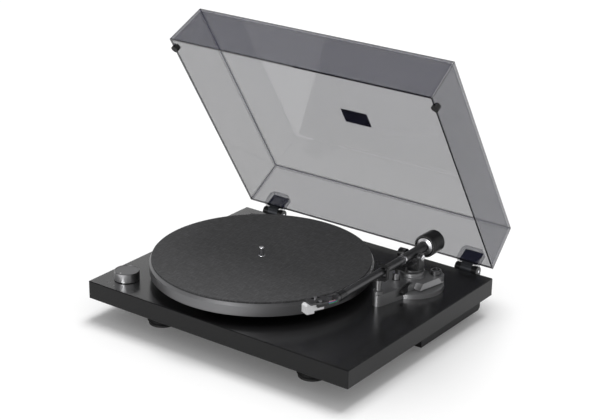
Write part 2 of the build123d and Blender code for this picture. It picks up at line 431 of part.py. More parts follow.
# Pulley on the motor's shaft and the flat belt around it and the ring
belt_z1 = BELT_Z0 + BELT_W
pulley_rim = PULLEY_R + PULLEY_RIM
groove_z0, groove_z1 = BELT_Z0 - SUNK, belt_z1 + SUNK
pulley_top = groove_z1 + RIM_T
parts["pulley"] = turned([
    (0, can_floor + FIT), (MOTOR_SHAFT_R, can_floor + FIT), (MOTOR_SHAFT_R, groove_z0 - RIM_T),
    (pulley_rim, groove_z0 - RIM_T), (pulley_rim, groove_z0), (PULLEY_R, groove_z0), (PULLEY_R, groove_z1),
    (pulley_rim, groove_z1), (pulley_rim, pulley_top), (MOTOR_SHAFT_R, pulley_top),
    (MOTOR_SHAFT_R, pulley_top + SUNK), (0, pulley_top + SUNK)
], MOTOR_X, MOTOR_Y)
centre, motor_at = (PLATTER_X, PLATTER_Y), (MOTOR_X, MOTOR_Y)
ring_gap, pulley_gap = BELT_RING_R + GAP, PULLEY_R + GAP
belt = capsule(centre, ring_gap + BELT_T, motor_at, pulley_gap + BELT_T, BELT_Z0, belt_z1)
parts["belt"] = belt - capsule(centre, ring_gap, motor_at, pulley_gap, BELT_Z0, belt_z1)

# Speed knob, its shaft, and the switch in its pocket
switch_z0 = pocket_z - SWITCH_H
switch_half = SWITCH_SIDE / 2
nut_top = TOP + NUT_T
thread_top = nut_top + THREAD_OVER
switch = block(KNOB_X - switch_half, KNOB_X + switch_half, KNOB_Y - switch_half, KNOB_Y + switch_half,
               switch_z0, pocket_z)
switch += cyl(SWITCH_BUSH_R, pocket_z, thread_top, KNOB_X, KNOB_Y)
switch_floor = switch_z0 + SHAFT_FLOOR
parts["rotary_switch"] = switch - cyl(SWITCH_SHAFT_R + FIT, switch_floor, thread_top, KNOB_X, KNOB_Y)
nut = Pos(KNOB_X, KNOB_Y, TOP) * extrude(RegularPolygon(NUT_R, 6), NUT_T)
parts["switch_nut"] = nut - cyl(SWITCH_BUSH_R + FIT, TOP, nut_top, KNOB_X, KNOB_Y)
knob_z0, knob_z1 = TOP + KNOB_GAP, TOP + KNOB_H
recess_r, recess_z, dish_z = NUT_R + SWITCH_ROOM, nut_top + KNOB_ROOM, knob_z1 - KNOB_DISH
knob = turned([
    (recess_r, knob_z0), (KNOB_R, knob_z0), (KNOB_R, knob_z1 - DIAL_EDGE), (KNOB_R - DIAL_EDGE, knob_z1),
    (KNOB_R - KNOB_RIM, knob_z1), (KNOB_R - KNOB_RIM, dish_z), (0, dish_z), (0, recess_z),
    (recess_r, recess_z)
], KNOB_X, KNOB_Y)
shaft_top = knob_z1 - SWITCH_GRIP
knob -= cyl(SWITCH_SHAFT_R + FIT, recess_z, shaft_top, KNOB_X, KNOB_Y)
parts["speed_knob"] = knob - cyl(DOT_R, dish_z - DOT_D, dish_z, KNOB_X, KNOB_Y - KNOB_R + DOT_INSET)
parts["switch_shaft"] = cyl(SWITCH_SHAFT_R, switch_floor + FIT, shaft_top, KNOB_X, KNOB_Y)

# Hinge brackets behind the plinth, with their pins and screws
bracket_back, bracket_z0 = PLINTH_D + BRACKET_T, UNDER + BRACKET_RISE
ear_in = KNUCKLE_W / 2 + GAP
screw_z = UNDER + BRACKET_SCREW_Z


def hinge_bracket(x):
    base = block(x - HINGE_W / 2, x + HINGE_W / 2, PLINTH_D, bracket_back, bracket_z0,
                 HINGE_Z - HINGE_R - BRACKET_RISE)
    for x0, x1 in ((x - HINGE_W / 2, x - ear_in), (x + ear_in, x + HINGE_W / 2)):
        base += side_prism([
            (PLINTH_D, bracket_z0), (PLINTH_D, HINGE_Z), (HINGE_Y + HINGE_R, HINGE_Z),
            (HINGE_Y + BRACKET_T, bracket_z0 + BRACKET_RISE), (bracket_back, bracket_z0)], x0, x1)
        base += rod_x(HINGE_R, x0, x1, HINGE_Y, HINGE_Z)
    base -= rod_x(HINGE_PIN_R + FIT, x - HINGE_W / 2, x + HINGE_W / 2, HINGE_Y, HINGE_Z)
    for sx in (x - BRACKET_SCREW_X, x + BRACKET_SCREW_X):
        base -= rod_y(SMALL_R + FIT, PLINTH_D, bracket_back, sx, screw_z)
    return base


for x in (-HINGE_X, HINGE_X):
    for sx in (x - BRACKET_SCREW_X, x + BRACKET_SCREW_X):
        small_screws.append(Pos(sx, bracket_back + SCREW_HEAD_H, screw_z) * Rot(90, 0, 0) * screw(
            0, 0, 0, SMALL_L, SMALL_R, SMALL_HEAD_R))
        holes.append(rod_y(SMALL_R + FIT, bracket_back - SMALL_L - FIT, PLINTH_D, sx, screw_z))
parts["hinge_brackets"] = group([hinge_bracket(-HINGE_X), hinge_bracket(HINGE_X)])
parts["small_screws"] = group(small_screws)
pin_half = HINGE_W / 2 + SUNK
parts["hinge_pins"] = group([
    rod_x(HINGE_PIN_R, x - pin_half, x + pin_half, HINGE_Y, HINGE_Z) for x in (-HINGE_X, HINGE_X)
])
for hole in holes:
    plinth -= hole
parts["plinth"] = plinth

# Dust cover, drawn closed and swung open at the end
lid_slopes = (LID_SIDE_DRAFT / LID_FRONT_H, LID_FRONT_DRAFT / LID_FRONT_H, LID_REAR_DRAFT / LID_REAR_H)


def lid_block(inset, low, drop):
    side, front, rear = lid_slopes

    def corners(z_front, z_rear):
        yf, yr = LID_Y0 + inset + front * z_front, LID_Y1 - inset - rear * z_rear
        xf, xr = LID_X - inset - side * z_front, LID_X - inset - side * z_rear
        zf, zr = LID_Z + z_front, LID_Z + z_rear
        return [(-xf, yf, zf), (xf, yf, zf), (xr, yr, zr), (-xr, yr, zr)]

    low_pts = corners(low, low)
    top_pts = corners(LID_FRONT_H - drop, LID_REAR_H - drop)
    faces = [low_pts, top_pts] + [
        [low_pts[i], low_pts[(i + 1) % 4], top_pts[(i + 1) % 4], top_pts[i]] for i in range(4)
    ]
    return Solid(Shell([Face(Wire(Polyline(*pts, close=True).edges())) for pts in faces]))


lid_outer = lid_block(0, 0, 0)
lid_outer = fillet(lid_outer.edges().sort_by(Axis.Z)[-8:], min(LID_ROUND, LID_WALL / 2))
lid_shell = lid_outer - lid_block(LID_WALL, -LID_WALL, LID_WALL)
parts["lid"] = lid_shell

# Hinge pockets on the cover and the leaves whose blades fill them
blade_y0 = LID_Y1 + BLADE_OFF
blade_y1 = blade_y0 + BLADE_T
blade_z0, blade_z1 = LID_Z + POCKET_LIFT, LID_Z + BLADE_H


def hinge_pocket(x):
    z1, half, cut = blade_z1 + POCKET_OVER, BLADE_W / 2 + POCKET_SIDE, POCKET_CORNER
    face = [(x - half, blade_z0), (x + half, blade_z0), (x + half, z1 - cut), (x + half - cut, z1),
            (x - half + cut, z1), (x - half, z1 - cut)]
    outline = Polyline(*[(px, LID_Y1 - POCKET_BITE, pz) for px, pz in face], close=True)
    depth = POCKET_BITE + BLADE_OFF + BLADE_T + POCKET_SKIN
    pocket = extrude(make_face(outline), depth, dir=(0, 1, 0)) - lid_outer
    slot = BLADE_W / 2 + FIT
    return pocket - block(x - slot, x + slot, blade_y0, blade_y1, blade_z0, blade_z1 + FIT)


def hinge_leaf(x):
    shelf = LID_Z - SHELF_DROP
    left, right = x - KNUCKLE_W / 2, x + KNUCKLE_W / 2
    leaf = block(x - BLADE_W / 2, x + BLADE_W / 2, blade_y0, blade_y1, blade_z0, blade_z1)
    leaf += block(left, right, blade_y0, blade_y1, shelf - SHELF_T, blade_z0)
    leaf += side_prism([
        (blade_y0, shelf), (blade_y0, shelf - SHELF_T - GAP), (HINGE_Y, HINGE_Z - HINGE_R + 2 * GAP),
        (HINGE_Y + SHELF_T, HINGE_Z), (HINGE_Y, shelf)], left, right)
    knuckle = rod_x(HINGE_R - GAP, left, right, HINGE_Y, HINGE_Z)
    leaf += knuckle - block(left, right, HINGE_Y - HINGE_R, HINGE_Y + HINGE_R, shelf, shelf + HINGE_R)
    return leaf - rod_x(HINGE_PIN_R + FIT, left, right, HINGE_Y, HINGE_Z)


parts["hinge_pockets"] = group([hinge_pocket(-HINGE_X), hinge_pocket(HINGE_X)])
parts["hinge_leaves"] = group([hinge_leaf(-HINGE_X), hinge_leaf(HINGE_X)])

# Bumpers under the cover's side walls and the blank plate on its top
bumper_x = LID_X - LID_WALL / 2
puck = cyl(BUMPER_R, TOP + GAP, TOP + GAP + BUMPER_H, bumper_x, BUMPER_Y) - lid_shell
parts["bumpers"] = group([puck, mirror(puck, Plane.YZ)])
badge_run = LID_Y1 - LID_REAR_DRAFT - LID_Y0 - LID_FRONT_DRAFT
badge_y = BADGE_Y0 + BADGE_D / 2
badge_z = LID_Z + LID_FRONT_H + (badge_y - LID_Y0 - LID_FRONT_DRAFT) * LID_RISE / badge_run
badge_slope = math.degrees(math.atan2(LID_RISE, badge_run))
parts["badge_plate"] = Pos(0, badge_y, badge_z) * Rot(badge_slope, 0, 0) * Pos(0, 0, BADGE_T / 2) * Box(
    BADGE_W, BADGE_D, BADGE_T)
lid_open = Pos(0, HINGE_Y, HINGE_Z) * Rot(-LID_OPEN, 0, 0) * Pos(0, -HINGE_Y, -HINGE_Z)
for name in ("lid", "hinge_pockets", "hinge_leaves", "bumpers", "badge_plate"):
    parts[name] = lid_open * parts[name]

# Tonearm base: disc, casting with the arm rest's foot and the bevelled side housing
arm_at, post_at = (ARM_X, ARM_Y), (POST_X, POST_Y)
tube_bore = PEDESTAL_TUBE_R + FIT
disc = turned([
    (tube_bore, TOP), (DISC_R, TOP), (DISC_R, DISC_TOP - DISC_EDGE), (DISC_R - DISC_EDGE, DISC_TOP),
    (tube_bore, DISC_TOP)
], ARM_X, ARM_Y)


def base_outline(points, z):
    return Pos(ARM_X, ARM_Y, z) * make_face(Polyline(*points, close=True))


casting = capsule(arm_at, CAST_R, post_at, POST_BASE_R, TOP, CAST_TOP)
casting = chamfer(casting.faces().sort_by(Axis.Z)[-1].edges(), CAST_EDGE)
neck = offset(make_face(Polyline(*SIDE_FOOT, close=True)), -SIDE_NECK, kind=Kind.INTERSECTION)
casting += Pos(ARM_X, ARM_Y, DISC_TOP) * extrude(neck, SIDE_LOW - DISC_H)
casting += loft([base_outline(SIDE_FOOT, TOP + SIDE_LOW), base_outline(SIDE_TOP, CAST_TOP)], ruled=True)
lobe = cyl(SKATE_R + LOBE_OVER, DISC_TOP, CAST_TOP, SKATE_X, SKATE_Y)
casting += chamfer(lobe.edges().sort_by(Axis.Z)[-1], CAST_EDGE)
casting -= cyl(DISC_R + FIT, TOP, DISC_TOP, ARM_X, ARM_Y)
lever_x0, lever_x1 = ARM_X + LEVER_IN, ARM_X + LEVER_IN + LEVER_W
slot_z = CUE_Z - LEVER_L * math.sin(math.radians(LEVER_DROP)) - LEVER_TIP_R - SWITCH_ROOM
lever_slot = block(lever_x0 - GAP, lever_x1 + GAP, LIFT_Y - LEVER_L - CAST_R, LIFT_Y + LEVER_R + CAST_EDGE,
                   slot_z, CAST_TOP)
disc -= lever_slot
casting -= lever_slot
casting -= cyl(tube_bore, DISC_TOP, CAST_TOP, ARM_X, ARM_Y)
casting -= cyl(WELL_R, CUE_Z - WELL_OVER, CAST_TOP, LIFT_X, LIFT_Y)
casting -= rod_x(LIFT_ROD_R + FIT, LIFT_X - CUE_LEFT - GAP, lever_x1, LIFT_Y, CUE_Z)
casting -= cyl(LIFT_ROD_R + FIT, CAST_TOP - SKATE_PIN, CAST_TOP, SKATE_X, SKATE_Y)
casting -= cyl(POST_STUB_R + FIT, CAST_TOP - POST_STUB, CAST_TOP, POST_X, POST_Y)
parts["arm_base_disc"] = disc
parts["arm_base_casting"] = casting

# Arm rest post, pedestal and the nut that clamps them to the plinth
wide_top = CAST_TOP + POST_WIDE_H
parts["rest_post"] = turned([
    (0, CAST_TOP - POST_STUB), (POST_STUB_R, CAST_TOP - POST_STUB), (POST_STUB_R, CAST_TOP),
    (POST_R, CAST_TOP), (POST_R, wide_top - SUNK), (POST_R - SUNK, wide_top), (NECK_R, wide_top),
    (NECK_R, POST_TOP), (0, POST_TOP)
], *post_at)
nut_z0 = UNDER - BASE_NUT_T
yaw_bore, flare_r, pedestal_z0 = YAW_R + FIT, PEDESTAL_R + FLARE_OUT, nut_z0 - TUBE_OVER
parts["pedestal"] = turned([
    (yaw_bore, pedestal_z0), (PEDESTAL_TUBE_R, pedestal_z0), (PEDESTAL_TUBE_R, CAST_TOP),
    (flare_r, CAST_TOP), (flare_r, CAST_TOP + FLARE_H), (PEDESTAL_R, CAST_TOP + FLARE_H + FLARE_SLOPE),
    (PEDESTAL_R, PEDESTAL_TOP - PEDESTAL_EDGE), (PEDESTAL_R - PEDESTAL_EDGE, PEDESTAL_TOP),
    (yaw_bore, PEDESTAL_TOP)
], ARM_X, ARM_Y)
base_nut = Pos(ARM_X, ARM_Y, nut_z0) * extrude(
    RegularPolygon(PEDESTAL_TUBE_R + BASE_NUT_OVER, 6), BASE_NUT_T)
parts["arm_base_nut"] = base_nut - cyl(tube_bore, nut_z0, UNDER, ARM_X, ARM_Y)

# Frames of the yoke and of the arm; the arm's own -Y runs along the tube to the front
yaw_frame = Pos(ARM_X, ARM_Y, 0) * Rot(0, 0, ARM_TOE)
arm_frame = Pos(ARM_X, ARM_Y, TUBE_Z) * Rot(0, 0, ARM_TOE) * Rot(-ARM_TILT, 0, 0)
head_frame = arm_frame * Pos(0, -HEAD_Y, 0) * Rot(0, 0, -HEAD_ANGLE)

# Yoke: turning disc on its shaft, saddle and two uprights
turn_z0 = PEDESTAL_TOP + GAP
turn_z1 = turn_z0 + TURN_T
upright_half = UPRIGHT_W / 2


def upright(x0, x1):
    post = block(x0, x1, -upright_half, upright_half, turn_z1 - SUNK, PITCH_Z)
    return post + rod_x(upright_half, x0, x1, 0, PITCH_Z)


yoke = turned([
    (0, turn_z0), (TURN_R - SUNK, turn_z0), (TURN_R, turn_z0 + SUNK), (TURN_R, turn_z1 - SUNK),
    (TURN_R - SUNK, turn_z1), (0, turn_z1)
])
yoke += upright(UPRIGHT_IN, UPRIGHT_OUT) + upright(-UPRIGHT_OUT, -UPRIGHT_IN)
saddle_z = turn_z1 + SADDLE_H
saddle = block(-UPRIGHT_IN, UPRIGHT_IN, -upright_half, upright_half, turn_z1 - SUNK, saddle_z)
saddle -= rod_y(SCOOP_R, -upright_half, upright_half, 0, saddle_z + SCOOP_R - SCOOP_D)
yoke += saddle + cyl(YAW_R, nut_z0 + YAW_RISE, turn_z0)
yoke -= rod_x(BORE_R + FIT, -UPRIGHT_OUT, UPRIGHT_OUT, 0, PITCH_Z)
parts["yoke"] = yaw_frame * yoke

# Bearing cup on the left upright and the pivot screw in the right one
cone_x, tip_x = AXLE_HALF + CONE_GAP, AXLE_HALF - PIVOT_TIP
cup = rod_x(upright_half, -UPRIGHT_OUT - CUP_L, -UPRIGHT_OUT, 0, PITCH_Z)
cup = chamfer(cup.faces().sort_by(Axis.X)[0].edges(), CAST_EDGE)
cup += rod_x(BORE_R, -UPRIGHT_OUT, -cone_x, 0, PITCH_Z) + rod_x(PIVOT_TIP_R, -cone_x, -tip_x, 0, PITCH_Z)
parts["bearing_cup"] = yaw_frame * cup
head_x = UPRIGHT_OUT + PIVOT_HEAD_T
pivot_screw = rod_x(BORE_R, cone_x, UPRIGHT_OUT, 0, PITCH_Z)
pivot_screw += rod_x(PIVOT_HEAD_R, UPRIGHT_OUT, head_x, 0, PITCH_Z)
pivot_screw += rod_x(PIVOT_TIP_R, tip_x, cone_x, 0, PITCH_Z)
pivot_screw -= block(head_x - PIVOT_SLOT, head_x, -PIVOT_HEAD_R, PIVOT_HEAD_R,
                     PITCH_Z - PIVOT_SLOT, PITCH_Z + PIVOT_SLOT)
parts["pivot_screw"] = yaw_frame * pivot_screw

# Arm: sleeve with its tail and axle, trim ring and tube
axle_y = PITCH_DROP * math.sin(math.radians(ARM_TILT))
axle_z = -PITCH_DROP * math.cos(math.radians(ARM_TILT))
sleeve = rod_y(ARM_SLEEVE_R, -SLEEVE_FRONT, SLEEVE_BACK)
sleeve = chamfer(sleeve.edges(), SUNK)
tail = rod_y(TAIL_R, SLEEVE_BACK - SLEEVE_SOCKET, TAIL_END)
sleeve += chamfer(tail.edges().sort_by(Axis.Y)[-1:], SUNK)
tube_root = SLEEVE_SOCKET - SLEEVE_FRONT
sleeve -= rod_y(TUBE_R + FIT, -SLEEVE_FRONT, tube_root)
sleeve += rod_x(AXLE_R, -AXLE_HALF, AXLE_HALF, axle_y, axle_z)
socket_x = tip_x - TIP_ROOM
sleeve -= rod_x(PIVOT_TIP_R + FIT, -AXLE_HALF, -socket_x, axle_y, axle_z)
sleeve -= rod_x(PIVOT_TIP_R + FIT, socket_x, AXLE_HALF, axle_y, axle_z)
parts["arm_sleeve"] = arm_frame * sleeve
trim_y = -SLEEVE_FRONT - TRIM_W
trim = rod_y(ARM_SLEEVE_R + TRIM_OVER, trim_y, -SLEEVE_FRONT) - rod_y(TUBE_R + FIT, trim_y, -SLEEVE_FRONT)
parts["sleeve_ring"] = arm_frame * trim
plug_y = PLUG_IN - TUBE_END
tube = rod_y(TUBE_R, -TUBE_END, tube_root) - rod_y(TUBE_R - TUBE_WALL, plug_y, tube_root)
parts["arm_tube"] = arm_frame * (tube - rod_y(PLUG_R + FIT, -TUBE_END, plug_y))

# Locking collar
collar = rod_y(COLLAR_R, -COLLAR_Y1, -COLLAR_Y0)
collar = chamfer(collar.edges(), CAST_EDGE)
knurl = block(COLLAR_R - KNURL_D, COLLAR_R + KNURL_D, KNURL_END - COLLAR_Y1, -COLLAR_Y0 - KNURL_END,
              -KNURL_W / 2, KNURL_W / 2)
for k in range(KNURLS):
    collar -= Rot(0, k * 360 / KNURLS, 0) * knurl
parts["locking_collar"] = arm_frame * (collar - rod_y(PLUG_R + FIT, -COLLAR_Y1, -COLLAR_Y0))

# Headshell with its plug, slots and finger lift, in the head's own frame
hw, plate_top = HEAD_W / 2, HEAD_T / 2
neck_y = HEAD_Y - COLLAR_Y1 - HEAD_T
shoulder_y = -BODY_Y0 + BODY_TAIL
head = prism([
    (-5.5, shoulder_y), (1 - hw, shoulder_y - HEAD_T), (-hw, shoulder_y - 3 * HEAD_T),
    (-hw, HEAD_TIP - HEAD_L), (HEAD_TIP - hw, -HEAD_L), (hw - HEAD_TIP, -HEAD_L), (hw, HEAD_TIP - HEAD_L),
    (hw, shoulder_y - 2 * HEAD_T), (hw - HEAD_T, shoulder_y - HEAD_T), (-0.5, shoulder_y),
    (2.5, neck_y), (-3.5, neck_y)
], -plate_top, plate_top)
for x in (-SLOT_X, SLOT_X):
    head -= block(x - SLOT_HALF, x + SLOT_HALF, -SLOT_Y1, -SLOT_Y0, -plate_top, plate_top)
face_y = -COLLAR_Y1 - PLUG_FACE
plug = rod_y(PLUG_R, -COLLAR_Y1 - PLUG_GAP, plug_y) + rod_y(PLUG_FACE_R, face_y, -COLLAR_Y1 - PLUG_GAP)
finger = block(hw, hw + 2.2, -36, -24, -HEAD_TIP, HEAD_TIP)
finger += side_prism([(-36, -HEAD_TIP), (-36, HEAD_TIP), (-45, 3.4), (-45, 2.0)], hw + 1, hw + 2.2)
parts["headshell"] = head_frame * (head + finger) + arm_frame * plug

# Cartridge body, stylus holder with its guard, cantilever and screws
body_z = -plate_top - BODY_H
body_half = hw - BODY_INSET
cartridge = block(-body_half, body_half, -BODY_Y1, -BODY_Y0, body_z, -plate_top)
cartridge += block(-BODY_TAIL_HALF, BODY_TAIL_HALF, -BODY_Y0, shoulder_y, body_z, -plate_top)
for x in (-SLOT_X, SLOT_X):
    cartridge -= cyl(HEAD_SCREW_R + FIT, body_z, -plate_top, x, -HEAD_SCREW_Y)
parts["cartridge_body"] = head_frame * cartridge
holder = side_prism([
    (-GUARD_FRONT, -GUARD_LOW + plate_top), (-GUARD_FRONT, -GUARD_TOP - HEAD_T),
    (-GUARD_FRONT + HEAD_T, -GUARD_TOP), (-BODY_Y1 - SEAM, -GUARD_TOP), (-BODY_Y1 - SEAM, body_z),
    (-HOLDER_END, body_z), (-HOLDER_END, -HOLDER_LOW), (-GUARD_BACK, -HOLDER_LOW),
    (-GUARD_BACK, -GUARD_LOW), (-GUARD_FRONT + HEAD_T, -GUARD_LOW)
], -GUARD_HALF, GUARD_HALF)
hollow = GUARD_HALF - GUARD_WALL
holder -= block(-hollow, hollow, GUARD_WALL - GUARD_FRONT, -HOLDER_END - GUARD_WALL,
                -GUARD_LOW, -HOLDER_ROOF)
parts["stylus_holder"] = head_frame * holder
root_y, rod_t = -HOLDER_END - 2 * GUARD_WALL, CANTILEVER_T
parts["cantilever"] = head_frame * side_prism([
    (root_y, -HOLDER_ROOF), (root_y - 1.5 * rod_t, -HOLDER_ROOF),
    (-STYLUS_Y - rod_t / 2, 2 * rod_t - STYLUS_Z), (-STYLUS_Y - rod_t / 2, -STYLUS_Z),
    (-STYLUS_Y + rod_t / 2, -STYLUS_Z), (-STYLUS_Y + rod_t, 2 * rod_t - STYLUS_Z)
], -rod_t / 2, rod_t / 2)


def head_screw(x):
    top = plate_top + HEAD_SCREW_HEAD_H
    slot = block(x - HEAD_SCREW_HEAD_R, x + HEAD_SCREW_HEAD_R, -HEAD_SCREW_Y - GAP, GAP - HEAD_SCREW_Y,
                 top - SUNK, top)
    shank = cyl(HEAD_SCREW_R, body_z, plate_top, x, -HEAD_SCREW_Y)
    return shank + cyl(HEAD_SCREW_HEAD_R, plate_top, top, x, -HEAD_SCREW_Y) - slot


parts["cartridge_screws"] = head_frame * group([head_screw(-SLOT_X), head_screw(SLOT_X)])

# Lead wires from the cartridge's tail to the plug's face
turn = math.radians(HEAD_ANGLE)
plug_run = HEAD_Y + face_y
leads = []
for k in range(LEADS):
    across = LEAD_END_X + LEAD_END_STEP * k
    end = (across * math.cos(turn) - plug_run * math.sin(turn),
           across * math.sin(turn) + plug_run * math.cos(turn), -LEAD_END_Z)
    start = (LEAD_X + LEAD_STEP * k, shoulder_y, -LEAD_Z)
    path = Spline(start, end, tangents=((0, 1, 0), (-math.sin(turn), math.cos(turn), 0)))
    leads.append(sweep(Plane(path @ 0, z_dir=path % 0) * Circle(LEAD_R), path=path))
parts["lead_wires"] = head_frame * group(leads)

# Counterweight on its bush, with the dial ring on its front
weight_bore, step_y0 = BUSH_OUT + FIT, DIAL_Y0 + DIAL_STEP + SUNK
bush = rod_y(BUSH_OUT, BUSH_Y0, BUSH_Y1) - rod_y(TAIL_R + FIT, BUSH_Y0, BUSH_Y1)
parts["weight_bush"] = arm_frame * bush
weight = rod_y(WEIGHT_R, WEIGHT_Y0, WEIGHT_Y0 + WEIGHT_L)
weight = chamfer(weight.edges(), WEIGHT_EDGE) + rod_y(DIAL_STEP_R, step_y0, WEIGHT_Y0)
parts["counterweight"] = arm_frame * (weight - rod_y(weight_bore, step_y0, WEIGHT_Y0 + WEIGHT_L))
dial_bore, step_bore = BUSH_OUT + GAP, DIAL_STEP_R + FIT
dial = Rot(-90, 0, 0) * turned([
    (dial_bore, DIAL_Y0 - DIAL_CONE), (DIAL_STEP_R, DIAL_Y0 - DIAL_LIP), (WEIGHT_R - DIAL_EDGE, DIAL_Y0),
    (WEIGHT_R, DIAL_Y0 + DIAL_EDGE), (WEIGHT_R, DIAL_Y1), (step_bore, DIAL_Y1),
    (step_bore, DIAL_Y0 + DIAL_STEP), (dial_bore, DIAL_Y0 + DIAL_STEP)
])
for k in range(TICKS):
    tick_in = WEIGHT_R - TICK_OUT - (TICK_LONG if k % 10 == 0 else TICK_L)
    dial -= Rot(0, k * 360 / TICKS, 0) * block(
        tick_in, WEIGHT_R - TICK_OUT, DIAL_Y0 - SUNK, DIAL_Y0 + TICK_D, -TICK_W / 2, TICK_W / 2)
parts["dial_ring"] = arm_frame * dial

# Arm rest clip: seat, right blade with ears; keeper hinged on it
seat_top = -TUBE_R - REST_SINK
clip_y0, clip_y1 = -REST_Y - REST_HALF, -REST_Y + REST_HALF
blade_x0, blade_x1 = KEEP_X - BLADE_HALF, KEEP_X + BLADE_HALF
clip = block(blade_x0, blade_x1, clip_y0, clip_y1, seat_top - SEAT_T, KEEP_Z)
clip += block(-SEAT_LEFT, blade_x1, clip_y0, clip_y1, seat_top - SEAT_T, seat_top)
clip += rod_y(CLIP_EAR_R, clip_y0, clip_y1, KEEP_X, KEEP_Z)
notch = CLIP_EAR_R + GAP
clip -= block(KEEP_X - notch, KEEP_X + notch, -REST_Y - KEEPER_HALF - GAP, -REST_Y + KEEPER_HALF + GAP,
              KEEP_Z - notch, KEEP_Z + notch)
clip += rod_y(KEEPER_PIN_R, clip_y0, clip_y1, KEEP_X, KEEP_Z)
seat_z = (arm_frame * Pos(0, -REST_Y, seat_top - SEAT_T / 2)).position.Z
stem = cyl(CLIP_BASE_R, POST_TOP, seat_z, *post_at)
bridge = block(POST_X, ARM_X + blade_x1, clip_y0 + ARM_Y, clip_y1 + ARM_Y, POST_TOP + FLARE_H, seat_z)
parts["rest_clip"] = arm_frame * clip + stem + bridge
half_t = KEEP_T / 2
keeper = rod_y(CLIP_EAR_R, -REST_Y - KEEPER_HALF, KEEPER_HALF - REST_Y, KEEP_X, KEEP_Z)
arm_x1 = KEEP_X - notch - GAP
keeper += block(arm_x1 - GAP, KEEP_X - BLADE_HALF, -REST_Y - KEEPER_HALF, KEEPER_HALF - REST_Y,
                KEEP_Z - half_t, KEEP_Z + half_t)
keeper += block(-KEEPER_REACH, arm_x1, clip_y0, clip_y1, KEEP_Z - half_t, KEEP_Z + half_t)
flare_face = [(-KEEPER_REACH, KEEP_Z - half_t), (-KEEPER_REACH, KEEP_Z + half_t), (-9.4, KEEP_Z + 3.6),
              (-9.9, KEEP_Z + 2.4)]
outline = Polyline(*[(x, clip_y0, z) for x, z in flare_face], close=True)
keeper += extrude(make_face(outline), 2 * REST_HALF, dir=(0, 1, 0))
parts["rest_keeper"] = arm_frame * (keeper - rod_y(KEEPER_PIN_R + FIT, clip_y0, clip_y1, KEEP_X, KEEP_Z))

# Arm lift: cylinder, platform on its rod, cue shaft with cam and lever
lift_top, bar_z0, bar_z1 = TUBE_Z - LIFT_TOP_DROP, TUBE_Z - BAR_DROP, TUBE_Z - BAR_TOP_DROP
parts["lift_cylinder"] = cyl(LIFT_R, CAST_TOP, lift_top, LIFT_X, LIFT_Y) - cyl(
    LIFT_ROD_R + FIT, CAST_TOP, lift_top, LIFT_X, LIFT_Y)
bar_x1 = ARM_X + BAR_RIGHT
lift = block(LIFT_X - LIFT_R, bar_x1, LIFT_Y - BAR_HALF, LIFT_Y + BAR_HALF, bar_z0, bar_z0 + BAR_T)
lift += block(ARM_X - BAR_LEFT, bar_x1, LIFT_Y - BAR_HALF + 1, LIFT_Y + BAR_HALF - 1, bar_z0, bar_z1)
parts["lift_platform"] = lift + cyl(LIFT_ROD_R, CUE_Z + CAM_R + SEAM, bar_z0, LIFT_X, LIFT_Y)
lever_at = Pos(LIFT_X, LIFT_Y, CUE_Z)
along_x = Rot(0, 90, 0) * Rot(0, 0, -90)
cue = rod_x(LIFT_ROD_R, LIFT_X - CUE_LEFT, lever_x1, LIFT_Y, CUE_Z)
cue += lever_at * along_x * capsule((0, 0), CAM_R, (CAM_REACH, 0), CAM_TIP_R, -CAM_HALF, CAM_HALF)
lever = capsule((0, 0), LEVER_R, (LEVER_L, 0), LEVER_TIP_R, lever_x0 - LIFT_X, lever_x1 - LIFT_X)
parts["cue_lever"] = cue + lever_at * Rot(LEVER_DROP, 0, 0) * along_x * lever

# Anti-skate dial
skate_z0 = CAST_TOP + GAP
skate_z1, skate_in = skate_z0 + SKATE_H, SKATE_R - SKATE_WALL
skate = turned([
    (0, skate_z0), (SKATE_R, skate_z0), (SKATE_R, skate_z1 - SKATE_EDGE), (SKATE_R - SKATE_EDGE, skate_z1),
    (skate_in, skate_z1), (skate_in, skate_z1 - SKATE_DISH), (0, skate_z1 - SKATE_DISH)
], SKATE_X, SKATE_Y)
skate_pin = cyl(LIFT_ROD_R, CAST_TOP - SKATE_PIN + TIP_ROOM, skate_z0, SKATE_X, SKATE_Y)
parts["anti_skate_dial"] = skate + skate_pin

# Centre everything in depth and write one file per node
os.makedirs("parts", exist_ok=True)
boxes = [p.bounding_box() for p in parts.values()]
mid_y = (min(b.min.Y for b in boxes) + max(b.max.Y for b in boxes)) / 2
print("shift", round(mid_y, 4))
for name, shape in parts.items():
    solids = (Pos(0, -mid_y, 0) * shape).solids()
    export_step(solids[0] if len(solids) == 1 else Compound(children=solids), f"parts/{name}.step")
    print(name, len(solids), [round(v, 1) for v in shape.bounding_box().size])
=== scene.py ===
import json
import math
import bmesh
import bpy
from mathutils import Matrix, Vector


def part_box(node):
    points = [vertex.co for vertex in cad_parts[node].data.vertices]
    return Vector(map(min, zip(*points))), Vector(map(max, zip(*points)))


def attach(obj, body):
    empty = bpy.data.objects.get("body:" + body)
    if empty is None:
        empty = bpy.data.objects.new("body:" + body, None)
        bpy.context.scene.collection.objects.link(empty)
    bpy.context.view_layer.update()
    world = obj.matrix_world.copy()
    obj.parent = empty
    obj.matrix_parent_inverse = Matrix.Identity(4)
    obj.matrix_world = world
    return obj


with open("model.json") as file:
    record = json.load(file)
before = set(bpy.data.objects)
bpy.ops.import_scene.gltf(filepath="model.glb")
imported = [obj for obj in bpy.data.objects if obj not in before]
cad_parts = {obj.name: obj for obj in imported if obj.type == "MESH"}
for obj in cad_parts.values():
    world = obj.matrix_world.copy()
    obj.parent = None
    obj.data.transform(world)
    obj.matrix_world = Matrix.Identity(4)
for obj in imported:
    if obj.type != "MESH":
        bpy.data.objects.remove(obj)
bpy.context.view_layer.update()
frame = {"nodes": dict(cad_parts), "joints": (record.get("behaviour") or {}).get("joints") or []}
nodes = frame["nodes"]

